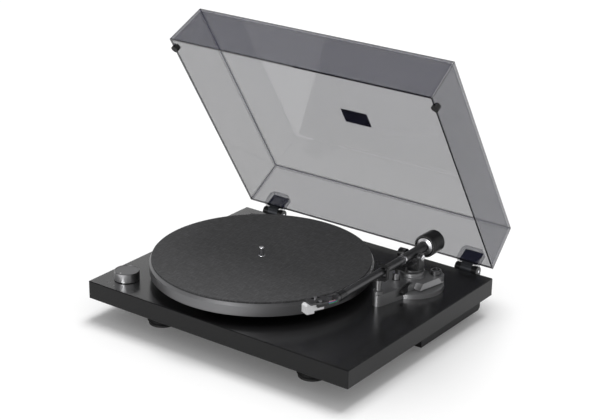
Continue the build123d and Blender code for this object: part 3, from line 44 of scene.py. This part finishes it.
# Camera at the photograph's place and angle
cameraPlace = {"x": 1.1948, "y": -1.6456, "z": 0.9613, "azimuth": 36.205, "elevation": 21.779, "roll": -0.758,
               "lens": 95.63, "sensor": 36, "farthest": 50}


def addCamera(place):
    data = bpy.data.cameras.new("camera")
    data.lens = place["lens"]
    data.sensor_width = place["sensor"]
    data.clip_end = place["farthest"]
    camera = bpy.data.objects.new("camera", data)
    bpy.context.collection.objects.link(camera)
    azimuth, elevation = math.radians(place["azimuth"]), math.radians(place["elevation"])
    level = math.cos(elevation)
    back = Vector((math.sin(azimuth) * level, -math.cos(azimuth) * level, math.sin(elevation)))
    turn = (-back).to_track_quat("-Z", "Y").to_matrix() @ Matrix.Rotation(-math.radians(place["roll"]), 3, "Z")
    camera.rotation_euler = turn.to_euler()
    camera.location = (place["x"], place["y"], place["z"])
    bpy.context.scene.camera = camera


addCamera(cameraPlace)
print("camera placed")


# Shared shader parts
def newSocket(group, name, direction, kind, value=None):
    socket = group.interface.new_socket(name=name, in_out=direction, socket_type=kind)
    if value is not None:
        socket.default_value = value
    return socket


def link(tree, source, target):
    tree.links.new(source, target)


def addNode(tree, kind, **values):
    node = tree.nodes.new(kind)
    for name, value in values.items():
        if name.startswith("in_"):
            node.inputs[name[3:].replace("_", " ")].default_value = value
        else:
            setattr(node, name, value)
    return node


def compute(tree, operation, *terms, clamp=False):
    # one Math node on sockets or plain numbers
    node = addNode(tree, "ShaderNodeMath", operation=operation, use_clamp=clamp)
    for slot, term in enumerate(terms):
        if isinstance(term, (int, float)):
            node.inputs[slot].default_value = term
        else:
            link(tree, term, node.inputs[slot])
    return node.outputs[0]


def mixColors(tree, mask, low, high):
    # low where the mask is 0, high where it is 1
    mix = addNode(tree, "ShaderNodeMix", data_type="RGBA")
    link(tree, mask, mix.inputs["Factor"])
    for name, color in (("A", low), ("B", high)):
        if isinstance(color, tuple):
            mix.inputs[name].default_value = (*color, 1)
        else:
            link(tree, color, mix.inputs[name])
    return mix.outputs["Result"]


def fade(tree, value, start, end, low=0.0, high=1.0):
    # a smooth step from low at start to high at end
    ramp = addNode(tree, "ShaderNodeMapRange", interpolation_type="SMOOTHSTEP")
    link(tree, value, ramp.inputs["Value"])
    for name, number in (("From Min", start), ("From Max", end), ("To Min", low), ("To Max", high)):
        ramp.inputs[name].default_value = number
    return ramp.outputs["Result"]


def separate(tree, place):
    split = addNode(tree, "ShaderNodeSeparateXYZ")
    link(tree, place, split.inputs[0])
    return split.outputs


def flatRadius(tree, split):
    # distance from the Z axis
    squares = [compute(tree, "MULTIPLY", split[axis], split[axis]) for axis in ("X", "Y")]
    return compute(tree, "SQRT", compute(tree, "ADD", *squares))


def makeSurfaceVariation():
    # fine speckle and broad cloudiness: varied colour and roughness, and a height
    group = bpy.data.node_groups.new("surfaceVariation", "ShaderNodeTree")
    newSocket(group, "Vector", "INPUT", "NodeSocketVector")
    newSocket(group, "Color", "INPUT", "NodeSocketColor", (0.5, 0.5, 0.5, 1))
    newSocket(group, "Fine Scale", "INPUT", "NodeSocketFloat", 900)
    newSocket(group, "Broad Scale", "INPUT", "NodeSocketFloat", 12)
    newSocket(group, "Strength", "INPUT", "NodeSocketFloat", 0.1)
    newSocket(group, "Roughness", "INPUT", "NodeSocketFloat", 0.4)
    newSocket(group, "Color", "OUTPUT", "NodeSocketColor")
    newSocket(group, "Roughness", "OUTPUT", "NodeSocketFloat")
    newSocket(group, "Height", "OUTPUT", "NodeSocketFloat")
    entry = addNode(group, "NodeGroupInput")
    leave = addNode(group, "NodeGroupOutput")
    fine = addNode(group, "ShaderNodeTexNoise", in_Detail=3.0)
    broad = addNode(group, "ShaderNodeTexNoise", in_Detail=4.0)
    for texture, scale in ((fine, "Fine Scale"), (broad, "Broad Scale")):
        link(group, entry.outputs["Vector"], texture.inputs["Vector"])
        link(group, entry.outputs[scale], texture.inputs["Scale"])
    total = compute(group, "ADD", fine.outputs["Fac"], broad.outputs["Fac"])
    centred = compute(group, "SUBTRACT", total, 1.0)
    factor = compute(group, "ADD", compute(group, "MULTIPLY", centred, entry.outputs["Strength"]), 1.0)
    tinted = addNode(group, "ShaderNodeVectorMath", operation="SCALE")
    link(group, entry.outputs["Color"], tinted.inputs[0])
    link(group, factor, tinted.inputs["Scale"])
    rough = compute(group, "MULTIPLY", entry.outputs["Roughness"], factor, clamp=True)
    link(group, tinted.outputs[0], leave.inputs["Color"])
    link(group, rough, leave.inputs["Roughness"])
    link(group, fine.outputs["Fac"], leave.inputs["Height"])
    return group


def makeTurnedLines():
    # fine rings round a piece's own Z axis, as left by a lathe
    group = bpy.data.node_groups.new("turnedLines", "ShaderNodeTree")
    newSocket(group, "Vector", "INPUT", "NodeSocketVector")
    newSocket(group, "Pitch", "INPUT", "NodeSocketFloat", 9000)
    newSocket(group, "Height", "OUTPUT", "NodeSocketFloat")
    entry = addNode(group, "NodeGroupInput")
    leave = addNode(group, "NodeGroupOutput")
    split = separate(group, entry.outputs["Vector"])
    place = addNode(group, "ShaderNodeCombineXYZ")
    link(group, flatRadius(group, split), place.inputs[0])
    link(group, split["Z"], place.inputs[1])
    rings = addNode(group, "ShaderNodeTexNoise", in_Detail=2.0)
    link(group, place.outputs[0], rings.inputs["Vector"])
    link(group, entry.outputs["Pitch"], rings.inputs["Scale"])
    link(group, rings.outputs["Fac"], leave.inputs["Height"])
    return group


surfaceVariation = makeSurfaceVariation()
turnedLines = makeTurnedLines()
reliefDepth = 0.0002


def startMaterial(name, **settings):
    material = bpy.data.materials.new(name)
    material.use_nodes = True
    tree = material.node_tree
    shader = tree.nodes["Principled BSDF"]
    for key, value in settings.items():
        shader.inputs[key.replace("_", " ")].default_value = value
    return material, tree, shader


def objectPlace(tree, centre=(0, 0, 0), turn=(0, 0, 0)):
    # Object coordinates moved so that centre is the new zero, then turned
    coordinates = addNode(tree, "ShaderNodeTexCoord")
    shift = addNode(tree, "ShaderNodeMapping", vector_type="POINT")
    link(tree, coordinates.outputs["Object"], shift.inputs["Vector"])
    shift.inputs["Location"].default_value = [-value for value in centre]
    if not any(turn):
        return shift.outputs["Vector"]
    rotate = addNode(tree, "ShaderNodeMapping", vector_type="POINT")
    link(tree, shift.outputs["Vector"], rotate.inputs["Vector"])
    rotate.inputs["Rotation"].default_value = turn
    return rotate.outputs["Vector"]


def addRelief(tree, shader, height, strength, depth=reliefDepth):
    relief = addNode(tree, "ShaderNodeBump", in_Strength=strength, in_Distance=depth)
    link(tree, height, relief.inputs["Height"])
    link(tree, relief.outputs["Normal"], shader.inputs["Normal"])


def addVariation(tree, shader, place, color, roughness, strength=0.1, fine=900, broad=12, bump=0.02):
    # colour, roughness and bump of a surface from the shared group
    group = addNode(tree, "ShaderNodeGroup", node_tree=surfaceVariation)
    link(tree, place, group.inputs["Vector"])
    group.inputs["Fine Scale"].default_value = fine
    group.inputs["Broad Scale"].default_value = broad
    group.inputs["Strength"].default_value = strength
    group.inputs["Roughness"].default_value = roughness
    if isinstance(color, tuple):
        group.inputs["Color"].default_value = (*color, 1)
    else:
        link(tree, color, group.inputs["Color"])
    link(tree, group.outputs["Color"], shader.inputs["Base Color"])
    link(tree, group.outputs["Roughness"], shader.inputs["Roughness"])
    if bump:
        addRelief(tree, shader, group.outputs["Height"], bump)


def plainMaterial(name, color, roughness, metallic=0.0, strength=0.1, bump=0.02, fine=900, **settings):
    material, tree, shader = startMaterial(name, Metallic=metallic, **settings)
    addVariation(tree, shader, objectPlace(tree), color, roughness, strength, fine, bump=bump)
    return material


def turnedMaterial(name, color, roughness, centre, turn=(0, 0, 0), metallic=1.0, strength=0.06, lines=0.05):
    material, tree, shader = startMaterial(name, Metallic=metallic)
    place = objectPlace(tree, centre, turn)
    addVariation(tree, shader, place, color, roughness, strength, bump=0)
    rings = addNode(tree, "ShaderNodeGroup", node_tree=turnedLines)
    link(tree, place, rings.inputs["Vector"])
    addRelief(tree, shader, rings.outputs["Height"], lines)
    return material


def middle(name):
    low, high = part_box(name)
    return (low + high) / 2


def dress(name, material):
    piece = nodes[name]
    piece.data.materials.clear()
    piece.data.materials.append(material)


print("shader parts ready")

# The arm's own direction, and the cover's opening, come from the joints
joints = {joint["name"]: joint for joint in frame["joints"]}
armBack = Vector(joints["weight_travel"]["axis"])
armRight = -Vector(joints["arm_lift"]["axis"])
armTurn = tuple(Matrix((armRight, armBack.cross(armRight), armBack)).to_euler())
armPivot = Vector(joints["arm_lift"]["pos_m"])
coverHinge = Vector(joints["cover_hinge"]["pos_m"])
coverOpen = math.radians(-joints["cover_hinge"]["range_deg"][0])
platterCentre = Vector(joints["platter_spin"]["pos_m"])
knobCentre = Vector(joints["speed_knob_turn"]["pos_m"])
skateCentre = Vector(joints["anti_skate_turn"]["pos_m"])


# Plinth, housing, feet: black board and black mouldings
plinthLook = {"color": (0.006, 0.006, 0.0065), "roughness": 0.26, "level": 0.26,
              "lacquerRoughness": 0.22, "lacquerIor": 1.5, "lacquerDepth": 0.0004,
              "moulding": (0.007, 0.007, 0.0075), "rubber": (0.006, 0.006, 0.006)}


def dressPlinth(look):
    # black board: satin edges, and a coat of lacquer on the top face
    material, tree, shader = startMaterial("blackBoard", Specular_IOR_Level=look["level"],
                                           Coat_Roughness=look["lacquerRoughness"], Coat_IOR=look["lacquerIor"])
    place = objectPlace(tree)
    addVariation(tree, shader, place, look["color"], look["roughness"], strength=0.12, fine=1400, broad=6, bump=0.015)
    topFace = compute(tree, "GREATER_THAN", separate(tree, place)["Z"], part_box("plinth")[1].z - look["lacquerDepth"])
    link(tree, topFace, shader.inputs["Coat Weight"])
    dress("plinth", material)
    moulding = plainMaterial("blackMoulding", look["moulding"], 0.5, strength=0.2, bump=0.06, fine=1800,
                             Specular_IOR_Level=look["level"])
    for name in ("under_housing", "feet", "power_socket", "selector_slider", "rotary_switch", "belt_ring"):
        dress(name, moulding)
    rubber = plainMaterial("softRubber", look["rubber"], 0.7, strength=0.25, bump=0.08, fine=2200)
    for name in ("foot_pads", "bumpers", "motor_grommets", "belt"):
        dress(name, rubber)


dressPlinth(plinthLook)
print("plinth dressed")

# Platter: turned metal, woven mat, polished spindle
platterLook = {"color": (0.16, 0.16, 0.164), "roughness": 0.42, "spindle": (0.75, 0.75, 0.77), "spindleRoughness": 0.15,
               "matColor": (0.052, 0.052, 0.0535), "matShades": (0.75, 1.25), "matRoughness": 0.9,
               "threadPitch": 0.0013, "threadRelief": 0.35, "threadDepth": 0.0004, "fibreColor": (0.09, 0.09, 0.093), "fibreScale": 90.0,
               "fibreLength": 7, "fibreFade": (0.45, 0.8)}


def makeWeave():
    # over and under threads of a cloth, as a height
    group = bpy.data.node_groups.new("threadWeave", "ShaderNodeTree")
    newSocket(group, "Vector", "INPUT", "NodeSocketVector")
    newSocket(group, "Pitch", "INPUT", "NodeSocketFloat", 0.0015)
    newSocket(group, "Height", "OUTPUT", "NodeSocketFloat")
    entry = addNode(group, "NodeGroupInput")
    leave = addNode(group, "NodeGroupOutput")
    split = separate(group, entry.outputs["Vector"])
    waves = []
    for axis in ("X", "Y"):
        steps = compute(group, "DIVIDE", split[axis], entry.outputs["Pitch"])
        waves.append(compute(group, "SINE", compute(group, "MULTIPLY", steps, math.pi)))
    height = compute(group, "MULTIPLY_ADD", compute(group, "MULTIPLY", *waves), 0.5, 0.5)
    link(group, height, leave.inputs["Height"])
    return group


threadWeave = makeWeave()


def matMaterial(look):
    material, tree, shader = startMaterial("wovenMat", Sheen_Weight=0.05, Sheen_Roughness=0.5, Specular_IOR_Level=0.25)
    place = objectPlace(tree, platterCentre)
    weave = addNode(tree, "ShaderNodeGroup", node_tree=threadWeave)
    link(tree, place, weave.inputs["Vector"])
    weave.inputs["Pitch"].default_value = look["threadPitch"]
    low, high = [tuple(value * factor for value in look["matColor"]) for factor in look["matShades"]]
    threads = mixColors(tree, weave.outputs["Height"], low, high)
    # stray pale fibres lie both ways across the cloth
    fibres = None
    for stretch in ((1, look["fibreLength"], 1), (look["fibreLength"], 1, 1)):
        squeeze = addNode(tree, "ShaderNodeMapping")
        link(tree, place, squeeze.inputs["Vector"])
        squeeze.inputs["Scale"].default_value = stretch
        noise = addNode(tree, "ShaderNodeTexNoise", in_Scale=look["fibreScale"], in_Detail=4.0)
        link(tree, squeeze.outputs["Vector"], noise.inputs["Vector"])
        streak = fade(tree, noise.outputs["Fac"], *look["fibreFade"])
        fibres = streak if fibres is None else compute(tree, "MAXIMUM", fibres, streak)
    cloth = mixColors(tree, fibres, threads, look["fibreColor"])
    addVariation(tree, shader, place, cloth, look["matRoughness"], strength=0.3, fine=700, broad=20, bump=0)
    addRelief(tree, shader, weave.outputs["Height"], look["threadRelief"], look["threadDepth"])
    return material


def dressPlatter(look):
    metal = turnedMaterial("turnedPlatter", look["color"], look["roughness"], platterCentre, lines=0.12)
    dress("platter", metal)
    dress("mat", matMaterial(look))
    dress("spindle", turnedMaterial("polishedSpindle", look["spindle"], look["spindleRoughness"], platterCentre))


dressPlatter(platterLook)
print("platter dressed")

# Speed knob with a pale pointer dot, and plain numbers beside it
# top and side are painted light on one metal: a shaded top and a highlighted side
knobLook = {"top": (0.21, 0.21, 0.215), "side": (0.5, 0.5, 0.51), "roughness": 0.3, "topDepth": 0.0006,
            "dotColor": (0.8, 0.8, 0.8), "dotRadius": 0.0011, "dotOut": 0.0129, "ink": (0.2, 0.2, 0.205),
            "numbers": (("33", -115), ("0", -90), ("45", -65)), "numberOut": 0.026, "numberSize": 0.0042,
            "numberThick": 0.00002, "numberRise": 0.00004}


def spotMask(tree, place, x, y, radius):
    # one inside a round spot on the XY plane, none outside
    flat = addNode(tree, "ShaderNodeVectorMath", operation="MULTIPLY")
    link(tree, place, flat.inputs[0])
    flat.inputs[1].default_value = (1, 1, 0)
    away = addNode(tree, "ShaderNodeVectorMath", operation="DISTANCE")
    link(tree, flat.outputs[0], away.inputs[0])
    away.inputs[1].default_value = (x, y, 0)
    return compute(tree, "LESS_THAN", away.outputs["Value"], radius)


def dressKnob(look):
    # turned dark metal with painted shade and highlight: the top is painted darker and the side paler, for how light
    # falls on the one metal; the pointer dot is painted
    material, tree, shader = startMaterial("knobMetal")
    place = objectPlace(tree, knobCentre)
    mask = spotMask(tree, place, 0, -look["dotOut"], look["dotRadius"])
    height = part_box("speed_knob")[1].z - knobCentre.z
    onTop = compute(tree, "GREATER_THAN", separate(tree, place)["Z"], height - look["topDepth"])
    # painted shade on the top and painted highlight on the side
    metal = mixColors(tree, onTop, look["side"], look["top"])
    color = mixColors(tree, mask, metal, look["dotColor"])
    addVariation(tree, shader, place, color, look["roughness"], strength=0.06, bump=0.01)
    link(tree, compute(tree, "SUBTRACT", 1.0, mask), shader.inputs["Metallic"])
    dress("speed_knob", material)


def addNumbers(look):
    ink = plainMaterial("paleInk", look["ink"], 0.5, strength=0.1, bump=0)
    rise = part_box("plinth")[1].z + look["numberRise"]
    for text, angle in look["numbers"]:
        curve = bpy.data.curves.new("speedNumber" + text, "FONT")
        curve.body = text
        curve.size = look["numberSize"]
        curve.extrude = look["numberThick"]
        curve.align_x, curve.align_y = "CENTER", "CENTER"
        writer = bpy.data.objects.new("writer", curve)
        bpy.context.collection.objects.link(writer)
        bpy.context.view_layer.update()
        graph = bpy.context.evaluated_depsgraph_get()
        mesh = bpy.data.meshes.new_from_object(writer.evaluated_get(graph))
        bpy.data.objects.remove(writer)
        number = bpy.data.objects.new("speedNumber" + text, mesh)
        bpy.context.collection.objects.link(number)
        heading = math.radians(angle)
        out = Vector((math.cos(heading), math.sin(heading), 0)) * look["numberOut"]
        mesh.transform(Matrix.Translation((knobCentre.x + out.x, knobCentre.y + out.y, rise)))
        mesh.materials.clear()
        mesh.materials.append(ink)
        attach(number, "base")


dressKnob(knobLook)
addNumbers(knobLook)
print("knob and numbers made")

# Tonearm, and the small metal and plastic pieces
armLook = {"gunmetal": (0.1, 0.1, 0.1025), "casting": (0.26, 0.26, 0.265), "shell": (0.09, 0.09, 0.093),
           "black": (0.014, 0.014, 0.015), "silver": (0.5, 0.5, 0.51), "bright": (0.8, 0.8, 0.82),
           "weight": (0.012, 0.012, 0.013), "white": (0.82, 0.82, 0.83), "leaf": (0.09, 0.096, 0.108),
           "brass": (0.6, 0.43, 0.2), "board": (0.03, 0.15, 0.06), "plate": (0.01, 0.01, 0.01)}


def dressArm(look):
    tube = turnedMaterial("armTubeMetal", look["gunmetal"], 0.42, armPivot, armTurn, lines=0.03)
    for name in ("arm_tube", "arm_sleeve"):
        dress(name, tube)
    dress("headshell", plainMaterial("headshellMetal", look["shell"], 0.35, metallic=0.9, strength=0.1, bump=0.03))
    casting = plainMaterial("castMetal", look["casting"], 0.42, metallic=1.0, strength=0.12, bump=0.05, fine=1500)
    for name in ("arm_base_disc", "arm_base_casting", "rest_post", "pedestal"):
        dress(name, casting)
    yoke = plainMaterial("yokeMetal", look["gunmetal"], 0.38, metallic=0.9, strength=0.1, bump=0.04, fine=1500)
    dress("yoke", yoke)
    black = plainMaterial("blackPaint", look["black"], 0.3, strength=0.15, bump=0.04, fine=1500)
    for name in ("hinge_brackets", "locking_collar", "bearing_cup"):
        dress(name, black)
    dress("hinge_leaves", plainMaterial("leafSteel", look["leaf"], 0.4, metallic=0.5, strength=0.1, bump=0.03))
    darkPlastic = plainMaterial("darkPlastic", look["black"], 0.36, strength=0.15, bump=0.03)
    for name in ("rest_clip", "rest_keeper", "lift_platform", "cue_lever", "cartridge_body"):
        dress(name, darkPlastic)
    silver = plainMaterial("satinSilver", look["silver"], 0.3, metallic=1.0, strength=0.05, bump=0.02)
    for name in ("weight_bush", "motor", "motor_plate", "lift_cylinder", "cartridge_screws"):
        dress(name, silver)
    bright = plainMaterial("brightSteel", look["bright"], 0.14, metallic=1.0, strength=0.05, bump=0.01)
    for name in ("sleeve_ring", "pivot_screw", "base_screws", "small_screws", "hinge_pins",
                 "switch_nut", "switch_shaft", "arm_base_nut", "line_sockets_and_ground", "cantilever"):
        dress(name, bright)
    weight = turnedMaterial("weightBlack", look["weight"], 0.3, armPivot, armTurn, metallic=0.0, lines=0.06)
    dress("counterweight", weight)
    dress("stylus_holder", plainMaterial("holderWhite", look["white"], 0.3, strength=0.03, bump=0.01))
    brass = plainMaterial("bearingBrass", look["brass"], 0.3, metallic=1.0, strength=0.08)
    for name in ("bearing_housing", "bearing_bushes", "pulley"):
        dress(name, brass)
    dress("circuit_board", plainMaterial("boardGreen", look["board"], 0.45, strength=0.3, fine=500))
    dress("badge_plate", plainMaterial("plateBlack", look["plate"], 0.25, strength=0.1))


dialLook = {"black": (0.013, 0.013, 0.014), "tickColor": (0.75, 0.75, 0.75),
            "cone": (0.5, 0.5, 0.515), "coneRadius": 0.012,
            "ticks": ((40, 0.0139), (4, 0.0131)), "tickOuter": 0.01515, "tickHalf": 0.00024}


def tickMask(tree, angle, radius, look):
    # one in the white lines: every step round the ring, and longer ones at each quarter
    lines = None
    for count, inner in look["ticks"]:
        step = 2 * math.pi / count
        off = compute(tree, "MULTIPLY", compute(tree, "PINGPONG", angle, step / 2), radius)
        line = compute(tree, "MULTIPLY", compute(tree, "LESS_THAN", off, look["tickHalf"]),
                       compute(tree, "GREATER_THAN", radius, inner))
        lines = line if lines is None else compute(tree, "MAXIMUM", lines, line)
    return compute(tree, "MULTIPLY", lines, compute(tree, "LESS_THAN", radius, look["tickOuter"]))


def dialMaterial(look):
    # black ring with white tick lines, silver on the inner cone
    material, tree, shader = startMaterial("dialBlack")
    place = objectPlace(tree, middle("dial_ring"), armTurn)
    split = separate(tree, place)
    angle = compute(tree, "ARCTAN2", split["Y"], split["X"])
    radius = flatRadius(tree, split)
    cone = compute(tree, "LESS_THAN", radius, look["coneRadius"])
    ring = mixColors(tree, tickMask(tree, angle, radius, look), look["black"], look["tickColor"])
    link(tree, cone, shader.inputs["Metallic"])
    addVariation(tree, shader, place, mixColors(tree, cone, ring, look["cone"]), 0.32, strength=0.08, bump=0.02)
    return material


skateLook = {"body": (0.12, 0.12, 0.122), "rim": (0.8, 0.8, 0.81),
             "rimInner": 0.0056, "rimOuter": 0.0066, "rimDepth": 0.0007}


def skateMaterial(look):
    # dark turned dial with a thin bright ring on its top edge
    material, tree, shader = startMaterial("skateDial", Metallic=0.9)
    place = objectPlace(tree, skateCentre)
    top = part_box("anti_skate_dial")[1].z - skateCentre.z
    ring = compute(tree, "SUBTRACT", *[spotMask(tree, place, 0, 0, look[key]) for key in ("rimOuter", "rimInner")])
    onTop = compute(tree, "GREATER_THAN", separate(tree, place)["Z"], top - look["rimDepth"])
    mask = compute(tree, "MULTIPLY", ring, onTop)
    addVariation(tree, shader, place, mixColors(tree, mask, look["body"], look["rim"]), 0.34, strength=0.08, bump=0.02)
    return material


leadLook = {"turn": 24.2, "along": (-0.00447, 0.00483),
            "first": (-0.00426, 0.00004), "step": (0.00189, 0.00122),
            "colors": ((0.7, 0.7, 0.7), (0.7, 0.08, 0.1), (0.05, 0.12, 0.6), (0.05, 0.4, 0.12))}


def leadMaterial(look):
    # four wires side by side, each with its own colour; their row shifts and narrows towards the plug
    material, tree, shader = startMaterial("leadInsulation")
    place = objectPlace(tree, middle("lead_wires"), (0, 0, math.radians(look["turn"])))
    split = separate(tree, place)
    first = fade(tree, split["Y"], *look["along"], *look["first"])
    step = fade(tree, split["Y"], *look["along"], *look["step"])
    number = compute(tree, "DIVIDE", compute(tree, "SUBTRACT", split["X"], first), step)
    color = look["colors"][0]
    for wire, paint in enumerate(look["colors"][1:]):
        color = mixColors(tree, compute(tree, "GREATER_THAN", number, wire + 0.5), color, paint)
    addVariation(tree, shader, place, color, 0.35, strength=0.05, bump=0.02)
    return material


dressArm(armLook)
dress("dial_ring", dialMaterial(dialLook))
dress("anti_skate_dial", skateMaterial(skateLook))
dress("lead_wires", leadMaterial(leadLook))
print("tonearm dressed")

# Smoked cover: a clear dark sheet, with painted shade that makes it darker and less clear at its rim and where two
# walls meet, and a painted highlight along its inner corners
# the edge shade colour and alpha and the corner shade alpha are painted shade; the glint colour and alpha are a painted
# highlight
coverLook = {"sheetColor": (0.03, 0.03, 0.062), "paintedEdgeShadeColor": (0.003, 0.003, 0.008), "glintColor": (0.62, 0.62, 0.68),
             "sheetAlpha": 0.42, "paintedCornerShadeAlpha": 0.58, "paintedEdgeShadeAlpha": 0.93, "glintAlpha": 0.8,
             "roughness": 0.05, "ior": 1.8, "wall": 0.0025, "innerShare": 0.7, "paintedCornerShade": 0.0044, "line": 0.0014,
             "glint": 0.0008, "rim": 0.0012, "rimReach": 0.0001, "upperFrom": 0.06, "frontReach": 0.02,
             "pocketColor": (0.06, 0.075, 0.13), "pocketAlpha": 0.35, "pocketIor": 1.49}


def closedCover(look):
    # half widths, front, rear, rim and top of the cover once it is turned shut about its hinge
    shut = Matrix.Rotation(coverOpen, 3, "X")
    points = [shut @ (vertex.co - coverHinge) for vertex in nodes["lid"].data.vertices]
    rim = min(point.z for point in points)
    lowest = [point for point in points if point.z < rim + look["rimReach"]]
    upper = [point for point in points if point.z > rim + look["upperFrom"]]
    size = {"rim": rim}
    for key, some in (("Low", lowest), ("High", upper)):
        size["half" + key] = max(point.x for point in some)
        size["front" + key] = min(point.y for point in some)
        size["rear" + key] = max(point.y for point in some)
    size["topRear"] = max(point.z for point in upper)
    size["topFront"] = max(point.z for point in upper if point.y < size["frontHigh"] + look["frontReach"])
    print("cover shut, in mm:", {key: round(value * 1000, 2) for key, value in size.items()})
    return size


def coverMasks(tree, look, size):
    # the rim, the corner band of painted shade between two walls, its outer line of painted shade, and the painted
    # glint along its inner line
    place = objectPlace(tree, coverHinge, (coverOpen, 0, 0))
    split = separate(tree, place)
    up = compute(tree, "SUBTRACT", split["Z"], size["rim"])
    tall = size["topRear"] - size["rim"]

    def leaning(key):
        # where that wall stands at each height
        low, high = size[key + "Low"], size[key + "High"]
        return compute(tree, "MULTIPLY_ADD", up, (high - low) / tall, low)

    def smaller(*pair):
        return compute(tree, "MINIMUM", *pair)

    def larger(*pair):
        return compute(tree, "MAXIMUM", *pair)

    side = compute(tree, "SUBTRACT", leaning("half"), compute(tree, "ABSOLUTE", split["X"]))
    front = compute(tree, "SUBTRACT", split["Y"], leaning("front"))
    rear = compute(tree, "SUBTRACT", leaning("rear"), split["Y"])
    end = smaller(front, rear)
    slope = (size["topRear"] - size["topFront"]) / (size["rearHigh"] - size["frontHigh"])
    ceiling = compute(tree, "MULTIPLY_ADD", split["Y"], slope, size["topFront"] - slope * size["frontHigh"])
    below = compute(tree, "SUBTRACT", ceiling, split["Z"])
    corner = smaller(larger(side, end), smaller(larger(side, below), larger(end, below)))
    deep = smaller(side, smaller(end, below))
    # painted shade: a dark outline along the corners and the bottom rim
    line = larger(compute(tree, "LESS_THAN", corner, look["line"]), compute(tree, "LESS_THAN", up, look["rim"]))
    inner = compute(tree, "GREATER_THAN", deep, look["wall"] * look["innerShare"])
    # painted shade: a more opaque band where two walls meet, on the outer faces
    paintedCornerShade = compute(tree, "SUBTRACT", compute(tree, "LESS_THAN", corner, look["paintedCornerShade"]), inner, clamp=True)
    # painted highlight: a pale glint along the inner corner lines, on the inner faces
    near = compute(tree, "LESS_THAN", corner, look["wall"] + look["glint"])
    return place, line, paintedCornerShade, compute(tree, "MULTIPLY", near, inner)


def smokedCover(look):
    material, tree, shader = startMaterial("smokedCover", Roughness=look["roughness"], IOR=look["ior"])
    place, line, paintedCornerShade, glint = coverMasks(tree, look, closedCover(look))
    # painted highlight on the inner corners, then painted shade on the outline
    sheet = mixColors(tree, glint, look["sheetColor"], look["glintColor"])
    color = mixColors(tree, line, sheet, look["paintedEdgeShadeColor"])
    addVariation(tree, shader, place, color, look["roughness"], strength=0.06, bump=0)
    alpha = compute(tree, "MULTIPLY_ADD", paintedCornerShade, look["paintedCornerShadeAlpha"] - look["sheetAlpha"], look["sheetAlpha"])
    for mask, value in ((glint, look["glintAlpha"]), (line, look["paintedEdgeShadeAlpha"])):
        alpha = compute(tree, "MAXIMUM", alpha, compute(tree, "MULTIPLY", mask, value))
    link(tree, alpha, shader.inputs["Alpha"])
    return material


def smokedPocket(look):
    material, tree, shader = startMaterial("smokedPocket", Roughness=look["roughness"], IOR=look["pocketIor"])
    addVariation(tree, shader, objectPlace(tree), look["pocketColor"], look["roughness"], strength=0.1, bump=0)
    shader.inputs["Alpha"].default_value = look["pocketAlpha"]
    return material


dress("lid", smokedCover(coverLook))
dress("hinge_pockets", smokedPocket(coverLook))
print("cover dressed")

# Floor, world and lamps
studio = {"floorColor": (0.9, 0.9, 0.9), "floorLift": 0.1, "floorSize": 6, "floorRoughness": 0.7, "floorGloss": 0.1,
          "world": 0.45, "ceiling": 0.1, "sweepEdge": (0.426, 0.408), "dimHeading": 12, "dimEdge": (21, 27),
          "suns": (("softSun", (-0.08, 0.34, 1.0), 32, 2.1, True),
                   ("frontGloss", (0.07, -1.0, 0.21), 24, 2.2, False))}


def addFloor(look):
    built = bmesh.new()
    bmesh.ops.create_grid(built, x_segments=1, y_segments=1, size=look["floorSize"])
    mesh = bpy.data.meshes.new("floor")
    built.to_mesh(mesh)
    built.free()
    floor = bpy.data.objects.new("floor", mesh)
    bpy.context.collection.objects.link(floor)
    material, tree, shader = startMaterial("paleFloor", Roughness=look["floorRoughness"],
                                           Base_Color=(*look["floorColor"], 1),
                                           Specular_IOR_Level=look["floorGloss"], Emission_Color=(1, 1, 1, 1))
    rays = addNode(tree, "ShaderNodeLightPath")
    link(tree, compute(tree, "MULTIPLY", rays.outputs["Is Camera Ray"], look["floorLift"]),
         shader.inputs["Emission Strength"])
    mesh.materials.append(material)


def mirroredRoom(tree, look):
    # what gloss and metal see: a pale sweep low down all round, dim behind the cover, and a dim ceiling
    direction = addNode(tree, "ShaderNodeTexCoord")
    split = separate(tree, direction.outputs["Generated"])
    low = fade(tree, split["Z"], *look["sweepEdge"])
    heading = compute(tree, "ARCTAN2", compute(tree, "MULTIPLY", split["X"], -1.0), split["Y"])
    aside = compute(tree, "ABSOLUTE", compute(tree, "SUBTRACT", heading, math.radians(look["dimHeading"])))
    sweep = fade(tree, aside, *[math.radians(degrees) for degrees in look["dimEdge"]])
    pale = compute(tree, "MULTIPLY", low, sweep)
    return compute(tree, "MULTIPLY_ADD", pale, 1.0 - look["ceiling"], look["ceiling"])


def addWorld(look):
    # white to the eye and through clear sheets, the room above in reflections, plain soft light otherwise
    world = bpy.data.worlds.new("studio")
    world.use_nodes = True
    bpy.context.scene.world = world
    tree = world.node_tree
    background = tree.nodes["Background"]
    rays = addNode(tree, "ShaderNodeLightPath")
    seen = compute(tree, "MAXIMUM", rays.outputs["Is Camera Ray"], rays.outputs["Is Transmission Ray"])
    glossy = rays.outputs["Is Glossy Ray"]
    mirrored = compute(tree, "MULTIPLY", glossy, mirroredRoom(tree, look))
    plain = compute(tree, "SUBTRACT", 1.0, compute(tree, "MAXIMUM", seen, glossy), clamp=True)
    strength = compute(tree, "MULTIPLY_ADD", plain, look["world"], compute(tree, "ADD", seen, mirrored))
    link(tree, strength, background.inputs["Strength"])
    background.inputs["Color"].default_value = (1, 1, 1, 1)


def addSun(name, place, width, power, diffuse):
    data = bpy.data.lights.new(name, "SUN")
    data.energy = power
    data.angle = math.radians(width)
    lamp = bpy.data.objects.new(name, data)
    bpy.context.collection.objects.link(lamp)
    lamp.visible_diffuse = diffuse  # the front one is only seen in gloss
    lamp.rotation_euler = Vector(place).to_track_quat("Z", "Y").to_euler()


addFloor(studio)
addWorld(studio)
for sunValues in studio["suns"]:
    addSun(*sunValues)
scene = bpy.context.scene
scene.view_settings.view_transform = "Standard"
print("studio ready")
